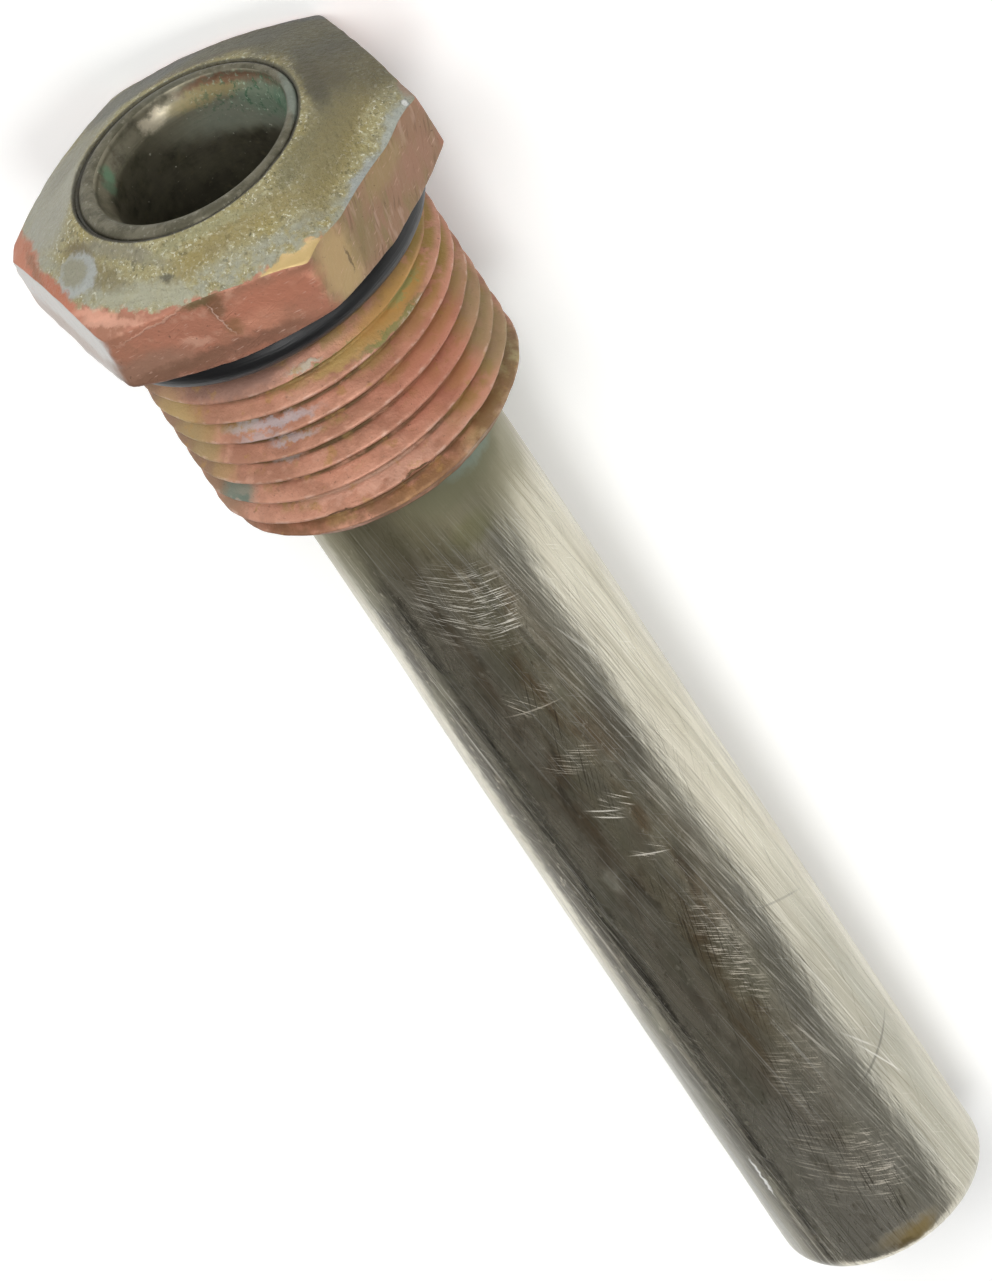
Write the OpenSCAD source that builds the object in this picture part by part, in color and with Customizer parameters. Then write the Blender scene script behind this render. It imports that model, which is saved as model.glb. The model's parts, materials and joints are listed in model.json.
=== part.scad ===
// Thermowell with a straight-thread hexagon bushing, sealed by an O-ring.
// A drawn tube with a closed end is soldered into a turned brass bushing.
// The well lies as it comes to rest: on one flat of the hexagon and on the tip.
// Origin: on the well's axis, in the plane of the seat under the head.
// The axis runs towards the tip along +X and dips by the angle of rest; +Z is up.

/* [Head] */
// Width of the hexagon across its flats (7/8 in)
hex_af = 22.225; // [21.4:0.025:24]
// Height of the head from its seat to the small end of the crown
head_h = 6.88; // [6:0.02:9]
// Slope of the crown, from the mouth down to the corners of the hexagon
crown_slope = 24.5; // [18:0.5:27]
// Slope of the chamfer under the head
under_slope = 24.5; // [15:0.5:30]
// Width of the flat land round the mouth
mouth_land = 0.2; // [0.1:0.05:0.8]
// How far the edge of the seat lies inside the flats
seat_inset = 0.16; // [0.1:0.02:0.5]

/* [Threaded shank] */
// Major diameter of the thread (3/4 in)
thread_d = 19.05; // [18.6:0.05:20]
// Pitch of the thread (16 to the inch)
thread_pitch = 1.5875; // [1:0.0125:1.8]
// Length of the shank from the seat to its end
shank_l = 15.3; // [12:0.1:20]
// Slope of the chamfers at the two ends of the thread
thread_chamfer = 45; // [35:1:60]
// From the end of the neck to the middle of the first whole crest
first_crest = 1.4; // [1.2:0.05:2]

/* [O-ring] */
// Inside diameter of the O-ring
ring_inner_d = 16.36; // [16:0.02:16.6]
// Thickness of the O-ring's section
ring_section = 2.21; // [1.8:0.01:2.5]
// Gap between the O-ring and the neck it sits on
ring_gap = 0.02; // [0.01:0.01:0.1]
// Space left along the neck between the O-ring and the thread
ring_play = 0.19; // [0.1:0.01:0.8]

/* [Well tube] */
// Outside diameter of the tube (1/2 in)
tube_d = 12.7; // [12:0.05:13.2]
// Wall of the tube
tube_wall = 0.9; // [0.6:0.05:1.3]
// Length of the tube from the seat to the tip
insertion_l = 78.8; // [50:0.2:150]
// Outside radius of the closed end's corner
tip_r = 1.4; // [1.35:0.05:3]
// Outside diameter of the flared mouth
mouth_d = 13.9; // [13.4:0.05:14.4]
// Length of the flare
flare_l = 1.7; // [1.2:0.1:3]
// How far the mouth stands above the crown
mouth_rise = 0.12; // [0.05:0.01:0.4]
// Rounding of the mouth's edges
lip_r = 0.2; // [0.1:0.05:0.25]

/* [Solder] */
// Gap between the tube and the bushing, filled with solder
joint_gap = 0.1; // [0.06:0.01:0.15]
// How far the solder lies below the top of the crown
solder_drop = 0.3; // [0.1:0.05:0.8]
// Leg of the solder fillet at the end of the shank
fillet_leg = 1.1; // [0.5:0.05:1.5]

/* [Hidden] */

brass_pink = [0.74, 0.50, 0.40];
tube_grey = [0.46, 0.44, 0.39];
ring_black = [0.06, 0.06, 0.06];
solder_grey = [0.58, 0.58, 0.56];

$fn = 96;
arc_steps = 8;    // straight stretches in a quarter round
flare_steps = 10; // straight stretches along the flare
over = 1;         // how far a cutting or joining solid runs past a face

// The head
flat_r = hex_af / 2;
corner_r = flat_r / cos(30);
seat_r = flat_r - seat_inset;
crown_s = -head_h;
mouth_s = crown_s - mouth_rise;

// The tube and the bushing's bore
tube_r = tube_d / 2;
mouth_r = mouth_d / 2;
bore_r = tube_r + joint_gap;
tip_inner_r = max(tip_r - tube_wall, lip_r);
crown_r = mouth_r + joint_gap + mouth_land;

// The threaded shank
thread_r = thread_d / 2;
thread_depth = 0.6134 * thread_pitch; // external depth of a 60 degree unified thread
root_r = thread_r - thread_depth;
crest_w = thread_pitch / 8;
flank_w = thread_depth * tan(30);

// The O-ring and its neck
ring_r = (ring_inner_d + ring_section) / 2;
neck_r = ring_inner_d / 2 - ring_gap;
neck_l = ring_section + ring_play;

// The angle of rest: the lowest point of a flat is its seat-side edge, and the tip lands on its
// rounded corner, so the line from one to the other is turned down onto the floor
rest_s = -seat_inset * tan(under_slope);
span_s = insertion_l - tip_r - rest_s;
span_r = flat_r - (tube_r - tip_r);
rest_tilt = atan(span_r / span_s) - asin(tip_r / norm([span_s, span_r]));

// A solid of revolution drawn as [radius, place along the axis], turned onto the X axis
module turned(outline) {
    rotate([0, 90, 0]) rotate_extrude() polygon(outline);
}

// Points of a round from angle a to angle b about a centre
function round_at(centre, r, a, b) =
    [for (i = [0:arc_steps]) let (t = a + (b - a) * i / arc_steps) centre + r * [cos(t), sin(t)]];

// The flare as [place along the axis, outside radius of the tube]: a soft S from mouth to tube.
// The tube, the solder and the bore all follow this one line, so they meet face to face.
flare = [for (i = [0:flare_steps]) let (t = i / flare_steps)
    [mouth_s + flare_l * t, tube_r + (mouth_r - tube_r) * (1 + cos(180 * t)) / 2]];

// The flare's line from one place on, moved outwards by a distance
function flare_line(from, shift) = concat(
    [[lookup(from, flare) + shift, from]],
    [for (point = flare) if (point[0] > from) [point[1] + shift, point[0]]]);

function after_first(list) = [for (i = [1:len(list) - 1]) list[i]];

function reversed(list) = [for (i = [len(list) - 1:-1:0]) list[i]];

// Lays the well down on the hexagon's flat and the tip
module laid() {
    rotate([0, rest_tilt, 0]) children();
}

// The crowned and chamfered hexagon
module head() {
    intersection() {
        rotate([0, 90, 0]) rotate([0, 0, 30]) translate([0, 0, crown_s - over])
            cylinder(r = corner_r, h = head_h + 2 * over, $fn = 6);
        turned([
            [0, crown_s],
            [crown_r, crown_s],
            [corner_r + over, crown_s + (corner_r + over - crown_r) * tan(crown_slope)],
            [corner_r + over, -(corner_r + over - seat_r) * tan(under_slope)],
            [seat_r, 0],
            [0, 0]
        ]);
    }
}

// One crest of the thread with its two flanks, about a place along the axis
function crest_at(place) = [
    [root_r, place - crest_w / 2 - flank_w],
    [thread_r, place - crest_w / 2],
    [thread_r, place + crest_w / 2],
    [root_r, place + crest_w / 2 + flank_w]
];

// The thread's true section, turned as rings instead of a helix, past the end of the shank
module thread_rings() {
    turned(concat(
        [[0, -over], [root_r, -over]],
        [for (place = [neck_l + first_crest:thread_pitch:shank_l], point = crest_at(place)) point],
        [[root_r, shank_l + over], [0, shank_l + over]]
    ));
}

// Neck for the O-ring and the threaded length, whose first and last crests run out in a chamfer
module shank() {
    reach = thread_r + over;
    intersection() {
        thread_rings();
        turned([
            [0, -over],
            [neck_r, -over],
            [neck_r, neck_l],
            [reach, neck_l + (reach - neck_r) * tan(thread_chamfer)],
            [reach, shank_l - (reach - root_r) * tan(thread_chamfer)],
            [root_r, shank_l],
            [0, shank_l]
        ]);
    }
}

// Bore of the bushing, opened out round the flare
module bushing_bore() {
    turned(concat(
        [[0, crown_s - over], [mouth_r + joint_gap, crown_s - over]],
        flare_line(crown_s, joint_gap),
        [[bore_r, shank_l + over], [0, shank_l + over]]
    ));
}

module hex_bushing() {
    color(brass_pink) laid() difference() {
        union() {
            head();
            shank();
        }
        bushing_bore();
    }
}

// Drawn tube: flared, round-lipped mouth and a flat closed end with a rounded corner
module well_tube() {
    lip_s = mouth_s + lip_r;
    lip_outer_r = lookup(lip_s, flare);
    tip_s = insertion_l;
    color(tube_grey) laid() turned(concat(
        round_at([lip_outer_r - tube_wall + lip_r, lip_s], lip_r, 180, 270),
        round_at([lip_outer_r - lip_r, lip_s], lip_r, 270, 360),
        after_first(flare_line(lip_s, 0)),
        round_at([tube_r - tip_r, tip_s - tip_r], tip_r, 0, 90),
        [[0, tip_s], [0, tip_s - tube_wall]],
        round_at([tube_r - tube_wall - tip_inner_r, tip_s - tube_wall - tip_inner_r],
                 tip_inner_r, 90, 0),
        reversed(after_first(flare_line(lip_s, -tube_wall)))
    ));
}

module o_ring() {
    color(ring_black) laid() rotate([0, 90, 0]) translate([0, 0, ring_section / 2])
        rotate_extrude() translate([ring_r, 0]) circle(d = ring_section, $fn = 48);
}

// Solder film round the tube, with a hollow fillet at the end of the shank
module solder_joint() {
    top_s = crown_s + solder_drop;
    color(solder_grey) laid() turned(concat(
        flare_line(top_s, 0),
        [[tube_r, shank_l + fillet_leg]],
        round_at([tube_r + fillet_leg, shank_l + fillet_leg], fillet_leg, 180, 270),
        [[bore_r, shank_l]],
        reversed(flare_line(top_s, joint_gap))
    ));
}

hex_bushing();
well_tube();
o_ring();
solder_joint();
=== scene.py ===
"""Dressed model of a used thermowell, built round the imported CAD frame.

A drawn tube with a closed end is soldered into a hexagonal bushing with a straight thread, which an
O-ring seals. Every shape is made in the well's own axis frame, in millimetres: Z runs from the mouth
to the tip with Z = 0 at the seat under the head, X points up as the well lies at rest, and angles
about Z start at the top. WellFrame carries the meshes into the row frame, in metres.
"""

import json
import logging
import math
from abc import ABC, abstractmethod
from collections.abc import Iterable
from dataclasses import dataclass, field
from enum import Enum
from typing import ClassVar

import bmesh
import bpy
from mathutils import Matrix, Vector, noise

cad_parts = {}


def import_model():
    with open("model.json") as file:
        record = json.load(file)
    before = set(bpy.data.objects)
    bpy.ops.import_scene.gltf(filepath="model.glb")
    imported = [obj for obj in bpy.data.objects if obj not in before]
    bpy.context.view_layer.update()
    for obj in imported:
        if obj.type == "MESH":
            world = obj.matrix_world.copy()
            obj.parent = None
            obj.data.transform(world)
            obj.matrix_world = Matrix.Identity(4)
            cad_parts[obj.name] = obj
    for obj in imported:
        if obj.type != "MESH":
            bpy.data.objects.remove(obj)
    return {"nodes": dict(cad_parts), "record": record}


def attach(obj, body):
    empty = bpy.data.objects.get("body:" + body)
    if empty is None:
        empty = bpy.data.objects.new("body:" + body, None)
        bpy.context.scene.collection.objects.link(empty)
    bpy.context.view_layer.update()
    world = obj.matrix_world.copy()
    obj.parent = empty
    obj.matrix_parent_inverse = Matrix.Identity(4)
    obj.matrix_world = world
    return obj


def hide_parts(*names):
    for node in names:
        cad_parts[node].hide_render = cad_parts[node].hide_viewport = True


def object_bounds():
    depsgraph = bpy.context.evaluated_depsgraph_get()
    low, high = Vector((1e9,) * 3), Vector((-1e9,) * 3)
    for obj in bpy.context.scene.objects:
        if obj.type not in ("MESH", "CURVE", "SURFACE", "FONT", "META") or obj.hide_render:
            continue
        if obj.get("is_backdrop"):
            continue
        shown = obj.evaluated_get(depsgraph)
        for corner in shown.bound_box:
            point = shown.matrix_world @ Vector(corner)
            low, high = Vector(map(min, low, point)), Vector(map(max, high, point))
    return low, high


LOG = logging.getLogger("thermowell")
MM = 0.001
TOUCHING = 1e-4  # vertices closer than this, in millimetres, are one
WELDED = 1e-3  # the same for the turns of the screwed thread, which meet less exactly
THREAD_DEPTH = 0.6134  # depth of an external 60 degree thread, as a share of its pitch
CROWN, FLATS, THREAD = range(3)  # the finishes of the bushing's faces
OUTSIDE, RIM, BORE, END = range(4)  # the finishes of the tube's faces
Outline = list[tuple[float, float]]
Lumps = tuple[tuple[float, float], ...]
Socket = bpy.types.NodeSocket


# ---------------------------------------------------------------------------------------------
# The frame and the shapes' common tools


@dataclass(frozen=True)
class Reach:
    """How far a CAD node runs along the axis and out from it, in millimetres."""

    low: float
    high: float
    outer: float


@dataclass(frozen=True)
class WellFrame:
    """The well's own axis frame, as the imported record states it."""

    origin: Vector
    axis: Vector

    @classmethod
    def from_record(cls, record: dict) -> "WellFrame":
        """Reads the frame from the bore that the record states.

        Args:
            record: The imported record.

        Returns:
            The frame, with its axis running from the mouth to the tip.
        """
        bore = next(mount for mount in record["mounts"] if mount["name"] == "probe_bore")
        return cls(Vector(bore["pos_m"]), -Vector(bore["axis"]).normalized())

    @property
    def turn(self) -> Matrix:
        """Rotation from the axis frame to the row frame."""
        side = Vector((0.0, -1.0, 0.0))
        return Matrix((side.cross(self.axis), side, self.axis)).transposed()

    @property
    def to_row(self) -> Matrix:
        """Change from the axis frame in millimetres to the row frame in metres."""
        return Matrix.Translation(self.origin) @ self.turn.to_4x4() @ Matrix.Scale(MM, 4)

    def reach(self, node: bpy.types.Object) -> Reach:
        """Measures a CAD node in the axis frame.


        Returns:
            Its span along the axis and away from it.
        """
        back = self.to_row.inverted()
        points = [back @ vert.co for vert in node.data.vertices]
        places = [point.z for point in points]
        return Reach(min(places), max(places), max(polar(point)[0] for point in points))


def blend(low: float, high: float, value: float) -> float:
    """Smooth rise from 0 at low to 1 at high."""
    share = min(1.0, max(0.0, (value - low) / (high - low)))
    return share * share * (3.0 - 2.0 * share)


def polar(point: Vector) -> tuple[float, float]:
    """Radius and angle in degrees of a point about the axis, the angle starting at the top."""
    return math.hypot(point.x, point.y), math.degrees(math.atan2(point.y, point.x))


def set_polar(vert: bmesh.types.BMVert, radius: float, place: float) -> None:
    """Moves a vertex to a radius and a place along the axis, at the angle that it has.

    Args:
        vert: The vertex.
        radius: Its new radius.
        place: Its new place.
    """
    _, angle = polar(vert.co)
    turned = math.radians(angle)
    vert.co = (radius * math.cos(turned), radius * math.sin(turned), place)


def angle_gap(one: float, other: float) -> float:
    """Unsigned angle between two directions, in degrees."""
    return abs((one - other + 180.0) % 360.0 - 180.0)


def revolve(mesh: bmesh.types.BMesh, outline: Outline, steps: int, closed: bool) -> None:
    """Spins an outline of (radius, place) pairs a full turn about the axis.

    Args:
        mesh: The mesh that takes the surface.
        outline: The section's points.
        steps: Number of steps in the turn.
        closed: Whether the last point joins the first.
    """
    verts = [mesh.verts.new((radius, 0.0, place)) for radius, place in outline]
    pairs = list(zip(verts, verts[1:]))
    if closed:
        pairs.append((verts[-1], verts[0]))
    edges = [mesh.edges.new(pair) for pair in pairs]
    bmesh.ops.spin(mesh, geom=verts + edges, cent=(0.0, 0.0, 0.0), axis=(0.0, 0.0, 1.0),
                   angle=math.tau, steps=steps, use_merge=True)


@dataclass(frozen=True)
class Lean:
    """The mouth's flare, which was hammered out more on one side than on the other."""

    angle: float = 55.0
    most: float = 0.26
    length: float = 1.5
    straight: float = 0.4

    def push(self, point: Vector, mouth: float, share: float) -> Vector:
        """Moves a point near the mouth towards the leaning side.

        Args:
            point: The point in the axis frame.
            mouth: Place of the mouth.
            share: How much of the lean the point follows.

        Returns:
            The moved point.
        """
        fade = blend(mouth + self.length, mouth + self.straight, point.z)
        return point + self.whole * share * fade

    @property
    def whole(self) -> Vector:
        """The whole lean, as a move across the axis."""
        turned = math.radians(self.angle)
        return Vector((math.cos(turned), math.sin(turned), 0.0)) * self.most


def spread(start: tuple[float, float], end: tuple[float, float], count: int) -> Outline:
    """Points from start up to, but not including, end, in equal steps."""
    return [(start[0] + (end[0] - start[0]) * i / count,
             start[1] + (end[1] - start[1]) * i / count) for i in range(count)]


def rounded(centre: tuple[float, float], radius: float, start: float, end: float,
            count: int) -> Outline:
    """Points of an arc from one angle to another, in degrees, both ends included."""
    angles = [math.radians(start + (end - start) * i / count) for i in range(count + 1)]
    return [(centre[0] + radius * math.cos(a), centre[1] + radius * math.sin(a)) for a in angles]


@dataclass(frozen=True)
class Nick:
    """A small dent: its middle by angle, radius and place, how wide it is and how deep."""

    angle: float
    radius: float
    place: float
    wide: float
    deep: float

    @property
    def middle(self) -> Vector:
        """The dent's middle in the axis frame."""
        turned = math.radians(self.angle)
        return Vector((self.radius * math.cos(turned), self.radius * math.sin(turned), self.place))


def wear(mesh: bmesh.types.BMesh, lumps: Lumps, nicks: Iterable[Nick] = ()) -> None:
    """Roughens a surface along its normals with soft lumps and presses nicks into it.

    Args:
        mesh: The mesh in millimetres.
        lumps: Pairs of lump size and height.
        nicks: The dents.
    """
    mesh.normal_update()
    dents = [(nick, nick.middle) for nick in nicks]
    moves = []
    for vert in mesh.verts:
        move = sum(height * noise.noise(vert.co / size) for size, height in lumps)
        for nick, middle in dents:
            share = (vert.co - middle).length / nick.wide
            if share < 1.0:
                move -= nick.deep * (1.0 - share * share) ** 2
        moves.append(vert.normal * move)
    for vert, move in zip(mesh.verts, moves):
        vert.co += move


def finish_piece(mesh: bmesh.types.BMesh, name: str, frame: WellFrame,
                 finishes: list[bpy.types.Material], replaced: str) -> bpy.types.Object:
    """Turns a mesh in the axis frame into a finished piece of the well.

    Args:
        mesh: The mesh in millimetres, whose faces already name their finish by index.
        name: The piece's name.
        frame: The well's axis frame.
        finishes: The materials, in the order of the faces' indices.
        replaced: The CAD node that the piece stands for.

    Returns:
        The object, at the origin, with its place in its mesh.
    """
    bmesh.ops.remove_doubles(mesh, verts=mesh.verts, dist=TOUCHING)
    bmesh.ops.recalc_face_normals(mesh, faces=mesh.faces)
    bmesh.ops.transform(mesh, matrix=frame.to_row, verts=mesh.verts)
    for face in mesh.faces:
        face.smooth = True
    data = bpy.data.meshes.new(name)
    mesh.to_mesh(data)
    mesh.free()
    for finish in finishes:
        data.materials.append(finish)
    piece = bpy.data.objects.new(name, data)
    bpy.context.scene.collection.objects.link(piece)
    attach(piece, "root")
    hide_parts(replaced)
    LOG.info("%s: %d vertices, %d faces", name, len(data.vertices), len(data.polygons))
    return piece


# ---------------------------------------------------------------------------------------------
# Finishes


def linear(colour: str) -> tuple[float, float, float, float]:
    """Turns an sRGB hex colour into the linear one that shaders take.

    Args:
        colour: The colour, such as "#b07862".

    Returns:
        Its linear red, green and blue, and an opacity of 1.
    """
    parts = [int(colour[i:i + 2], 16) / 255.0 for i in (1, 3, 5)]
    bent = [p / 12.92 if p <= 0.04045 else ((p + 0.055) / 1.055) ** 2.4 for p in parts]
    return (bent[0], bent[1], bent[2], 1.0)


def add_node(tree: bpy.types.NodeTree, kind: str, inputs: dict | None = None,
             **settings: object) -> bpy.types.Node:
    """Adds a node with its settings, values and links.

    Args:
        tree: The node tree.
        kind: The node's type.
        inputs: Values or sockets by input name or number.
        settings: The node's own properties.

    Returns:
        The node.
    """
    node = tree.nodes.new(kind)
    for name, value in settings.items():
        setattr(node, name, value)
    for key, value in (inputs or {}).items():
        if isinstance(value, Socket):
            tree.links.new(value, node.inputs[key])
        else:
            node.inputs[key].default_value = value
    return node


@dataclass(frozen=True)
class Patch:
    """A stain, crust or rubbed spot on the unrolled surface.

    It lies at an angle from the top in degrees and at a place in millimetres, along the axis or, on
    a face, out from it. It spans two half sizes in millimetres, round the well and across. One that
    only bounds other coats needs no colour.
    """

    angle: float
    place: float
    half_round: float
    half_across: float
    colour: str = "#000000"
    strength: float = 0.8
    soft: float = 0.6
    rough: float | None = None
    metal: float | None = None
    turn: float = 0.0
    rise: float = 0.0


class Sheet(Enum):
    """How a surface is laid flat to place things on it."""

    UNROLLED = "round the axis and along it"
    FACE_ON = "as seen along the axis"


@dataclass(frozen=True)
class Ground:
    """The bare material under a finish, and how its surface is laid flat.

    Facing is the angle in degrees at the middle of the unrolled sheet, opposite its seam.
    """

    name: str
    sheet: Sheet
    colour: str
    rough: float
    metal: float
    facing: float = 0.0


@dataclass
class Finish(ABC):
    """A finish laid on in coats, each placed in millimetres on the well.

    Each kind of finish names its bare ground and lays its own coats over it. The surface is
    unrolled at the girth, a radius in millimetres. The tear is the size and reach of the lumps that
    give a patch its torn edge.
    """

    ground: ClassVar[Ground]
    tear_size: ClassVar[float] = 0.7
    tear_reach: ClassVar[float] = 0.55

    frame: WellFrame
    girth: float

    def __post_init__(self) -> None:
        """Starts the material from its bare ground and works out where each point lies."""
        self.material = bpy.data.materials.new(self.ground.name)
        self.material.use_nodes = True
        self.tree = self.material.node_tree
        self.tree.nodes.clear()
        self.colour: object = linear(self.ground.colour)
        self.rough: object = self.ground.rough
        self.metal: object = self.ground.metal
        self.height: object = 0.0
        coords = self.add("ShaderNodeTexCoord").outputs["Object"]
        turn_back = self.frame.turn.inverted()
        self.place = self.add("ShaderNodeMapping", {
            "Vector": coords, "Rotation": turn_back.to_euler(),
            "Location": turn_back @ self.frame.origin / -MM,
            "Scale": (1.0 / MM,) * 3}).outputs[0]
        facing = -math.radians(self.ground.facing)
        turned = self.add("ShaderNodeMapping", {
            "Vector": self.place, "Rotation": (0.0, 0.0, facing)}).outputs[0]
        parts = self.add("ShaderNodeSeparateXYZ", {0: turned}).outputs
        self.along = parts["Z"]
        flat = self.add("ShaderNodeMapping", {
            "Vector": self.place, "Scale": (1.0, 1.0, 0.0)}).outputs[0]
        self.radius = self.add("ShaderNodeVectorMath", {0: flat},
                               operation="LENGTH").outputs["Value"]
        angle = self.add("ShaderNodeMath", {0: parts["Y"], 1: parts["X"]},
                         operation="ARCTAN2").outputs[0]
        around = self.add("ShaderNodeMath", {0: angle, 1: self.girth},
                          operation="MULTIPLY").outputs[0]
        unrolled = self.add("ShaderNodeCombineXYZ", {"X": around, "Y": self.along}).outputs[0]
        self.sheet = unrolled if self.ground.sheet is Sheet.UNROLLED else flat
        self.ragged = self.frayed()

    @abstractmethod
    def dress(self) -> None:
        """Lays the coats over the ground."""

    def build(self) -> bpy.types.Material:
        """Lays the coats and wires them into the shader.

        Returns:
            The finished material.
        """
        self.dress()
        bump = self.add("ShaderNodeBump", {"Height": self.height, "Distance": MM, "Strength": 1.0})
        shader = self.add("ShaderNodeBsdfPrincipled", {
            "Base Color": self.colour, "Roughness": self.rough, "Metallic": self.metal,
            "Normal": bump.outputs[0]})
        self.add("ShaderNodeOutputMaterial", {"Surface": shader.outputs[0]})
        return self.material

    def add(self, kind: str, inputs: dict | None = None, **settings: object) -> bpy.types.Node:
        """Adds a node to this finish."""
        return add_node(self.tree, kind, inputs, **settings)

    def frayed(self) -> Socket:
        """Pushes the flat surface about at random, which gives patches a torn edge.

        Returns:
            The pushed coordinates.
        """
        lumps = self.add("ShaderNodeTexNoise", {
            "Vector": self.place, "Scale": 1.0 / self.tear_size, "Detail": 5.0,
            "Roughness": 0.65}).outputs["Color"]
        push = self.add("ShaderNodeVectorMath", {0: lumps, 1: (0.5,) * 3},
                        operation="SUBTRACT").outputs[0]
        return self.add("ShaderNodeVectorMath", {
            0: push, 1: (2.0 * self.tear_reach,) * 3, 2: self.sheet},
            operation="MULTIPLY_ADD").outputs[0]

    def mask(self, value: Socket, low: float, high: float, top: float = 1.0,
             within: Socket | None = None) -> Socket:
        """Smooth mask that follows a value.

        Args:
            value: The value.
            low: Value at which the mask is 0.
            high: Value at which it reaches its top; it may be the smaller of the two.
            top: The mask's highest value.
            within: Another mask that bounds this one.

        Returns:
            The mask.
        """
        rise = self.add("ShaderNodeMapRange", {0: value, 1: low, 2: high, 3: 0.0, 4: top},
                        interpolation_type="SMOOTHSTEP").outputs[0]
        if within is None:
            return rise
        return self.add("ShaderNodeMath", {0: rise, 1: within}, operation="MULTIPLY").outputs[0]

    def mottle(self, size: float, low: float, high: float, top: float = 1.0, shift: float = 0.0,
               stretch: float = 1.0, within: Socket | None = None) -> Socket:
        """Random mask of lumps.

        Args:
            size: Size of a lump in millimetres.
            low: Noise value at which the mask is 0.
            high: Noise value at which it reaches its top.
            top: The mask's highest value.
            shift: Offset that makes one mottle differ from another.
            stretch: How many times longer than wide the lumps are, along the axis.
            within: Another mask that bounds this one.

        Returns:
            The mask.
        """
        placed = self.add("ShaderNodeMapping", {
            "Vector": self.place, "Location": (shift,) * 3,
            "Scale": (1.0 / size, 1.0 / size, 1.0 / (size * stretch))}).outputs[0]
        lumps = self.add("ShaderNodeTexNoise", {
            "Vector": placed, "Scale": 1.0, "Detail": 4.0, "Roughness": 0.6}).outputs[0]
        return self.mask(lumps, low, high, top, within)

    def strokes(self, length: float, width: float, turn: float, low: float, high: float,
                top: float = 1.0, shift: float = 0.0, within: Socket | None = None) -> Socket:
        """Random mask of long thin scratches on the flat surface.

        Args:
            length: Length of a scratch in millimetres.
            width: Width of a scratch in millimetres.
            turn: Angle in degrees from the axis towards the way round.
            low: Noise value at which the mask is 0.
            high: Noise value at which it reaches its top.
            top: The mask's highest value.
            shift: Offset that makes one set differ from another.
            within: Another mask that bounds this one.

        Returns:
            The mask.
        """
        turned = self.add("ShaderNodeMapping", {
            "Vector": self.sheet, "Rotation": (0.0, 0.0, math.radians(turn))}).outputs[0]
        placed = self.add("ShaderNodeMapping", {
            "Vector": turned, "Location": (shift, shift, 0.0),
            "Scale": (1.0 / width, 1.0 / length, 1.0)}).outputs[0]
        lines = self.add("ShaderNodeTexNoise", {
            "Vector": placed, "Scale": 1.0, "Detail": 2.0, "Roughness": 0.5,
            "Distortion": 0.15}).outputs[0]
        return self.mask(lines, low, high, top, within)

    def spot(self, patch: Patch, frayed: bool = True, within: Socket | None = None) -> Socket:
        """Mask of a patch on the surface.

        Args:
            patch: The patch.
            frayed: Whether its edge is torn.
            within: Another mask that bounds this one.

        Returns:
            The mask.
        """
        angle = math.radians(patch.angle)
        if self.ground.sheet is Sheet.UNROLLED:
            from_middle = (patch.angle - self.ground.facing + 180.0) % 360.0 - 180.0
            middle = (math.radians(from_middle) * self.girth, patch.place, 0.0)
            turn = math.radians(patch.turn)
        else:
            middle = (patch.place * math.cos(angle), patch.place * math.sin(angle), 0.0)
            turn = angle + math.radians(patch.turn + 90.0)
        local = self.add("ShaderNodeMapping", {
            "Vector": self.ragged if frayed else self.sheet, "Location": middle,
            "Rotation": (0.0, 0.0, turn),
            "Scale": (patch.half_round, patch.half_across, 1000.0)}, vector_type="TEXTURE")
        distance = self.add("ShaderNodeVectorMath", {0: local.outputs[0]},
                            operation="LENGTH").outputs["Value"]
        half_soft = patch.soft / 2.0
        return self.mask(distance, 1.0 + half_soft, 1.0 - half_soft, patch.strength, within)

    def coat(self, colour: str, mask: Socket | float, rough: float | None = None,
             metal: float | None = None) -> None:
        """Lays a coat over what is there.

        Args:
            colour: The coat's colour, as sRGB hex.
            mask: Where it lies.
            rough: Its roughness, if it differs.
            metal: Its metallic value, if it differs.
        """
        self.colour = self.add("ShaderNodeMix", {0: mask, 6: self.colour, 7: linear(colour)},
                               data_type="RGBA").outputs[2]
        if rough is not None:
            self.rough = self.add("ShaderNodeMix", {0: mask, 2: self.rough, 3: rough}).outputs[0]
        if metal is not None:
            self.metal = self.add("ShaderNodeMix", {0: mask, 2: self.metal, 3: metal}).outputs[0]

    def raised(self, mask: Socket, height: float) -> None:
        """Raises the surface, in millimetres, where the mask is 1; a negative height sinks it."""
        self.height = self.add("ShaderNodeMath", {0: mask, 1: height, 2: self.height},
                               operation="MULTIPLY_ADD").outputs[0]

    def patches(self, patches: Iterable[Patch], frayed: bool = True,
                within: Socket | None = None) -> None:
        """Lays patches on, each with its own colour, gloss and rise.

        Args:
            patches: The patches, the lowest first.
            frayed: Whether their edges are torn.
            within: Mask that bounds them all.
        """
        for patch in patches:
            mask = self.spot(patch, frayed, within)
            self.coat(patch.colour, mask, patch.rough, patch.metal)
            if patch.rise:
                self.raised(mask, patch.rise)


@dataclass
class DezincifiedBrass(Finish):
    """Brass that hot water has turned to spongy pink copper: matt, fine-grained, browned in places."""

    def skin(self) -> None:
        """Lays the copper's own mottled coats."""
        self.coat("#a2735b", self.mottle(2.4, 0.42, 0.62, 0.7), 0.62)
        self.coat("#d3a48c", self.mottle(1.1, 0.52, 0.70, 0.5, 7.0), 0.5)
        self.coat("#7c5c45", self.mottle(0.30, 0.60, 0.74, 0.6, 3.0), 0.7)
        self.raised(self.mottle(0.22, 0.35, 0.7), 0.014)


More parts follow.
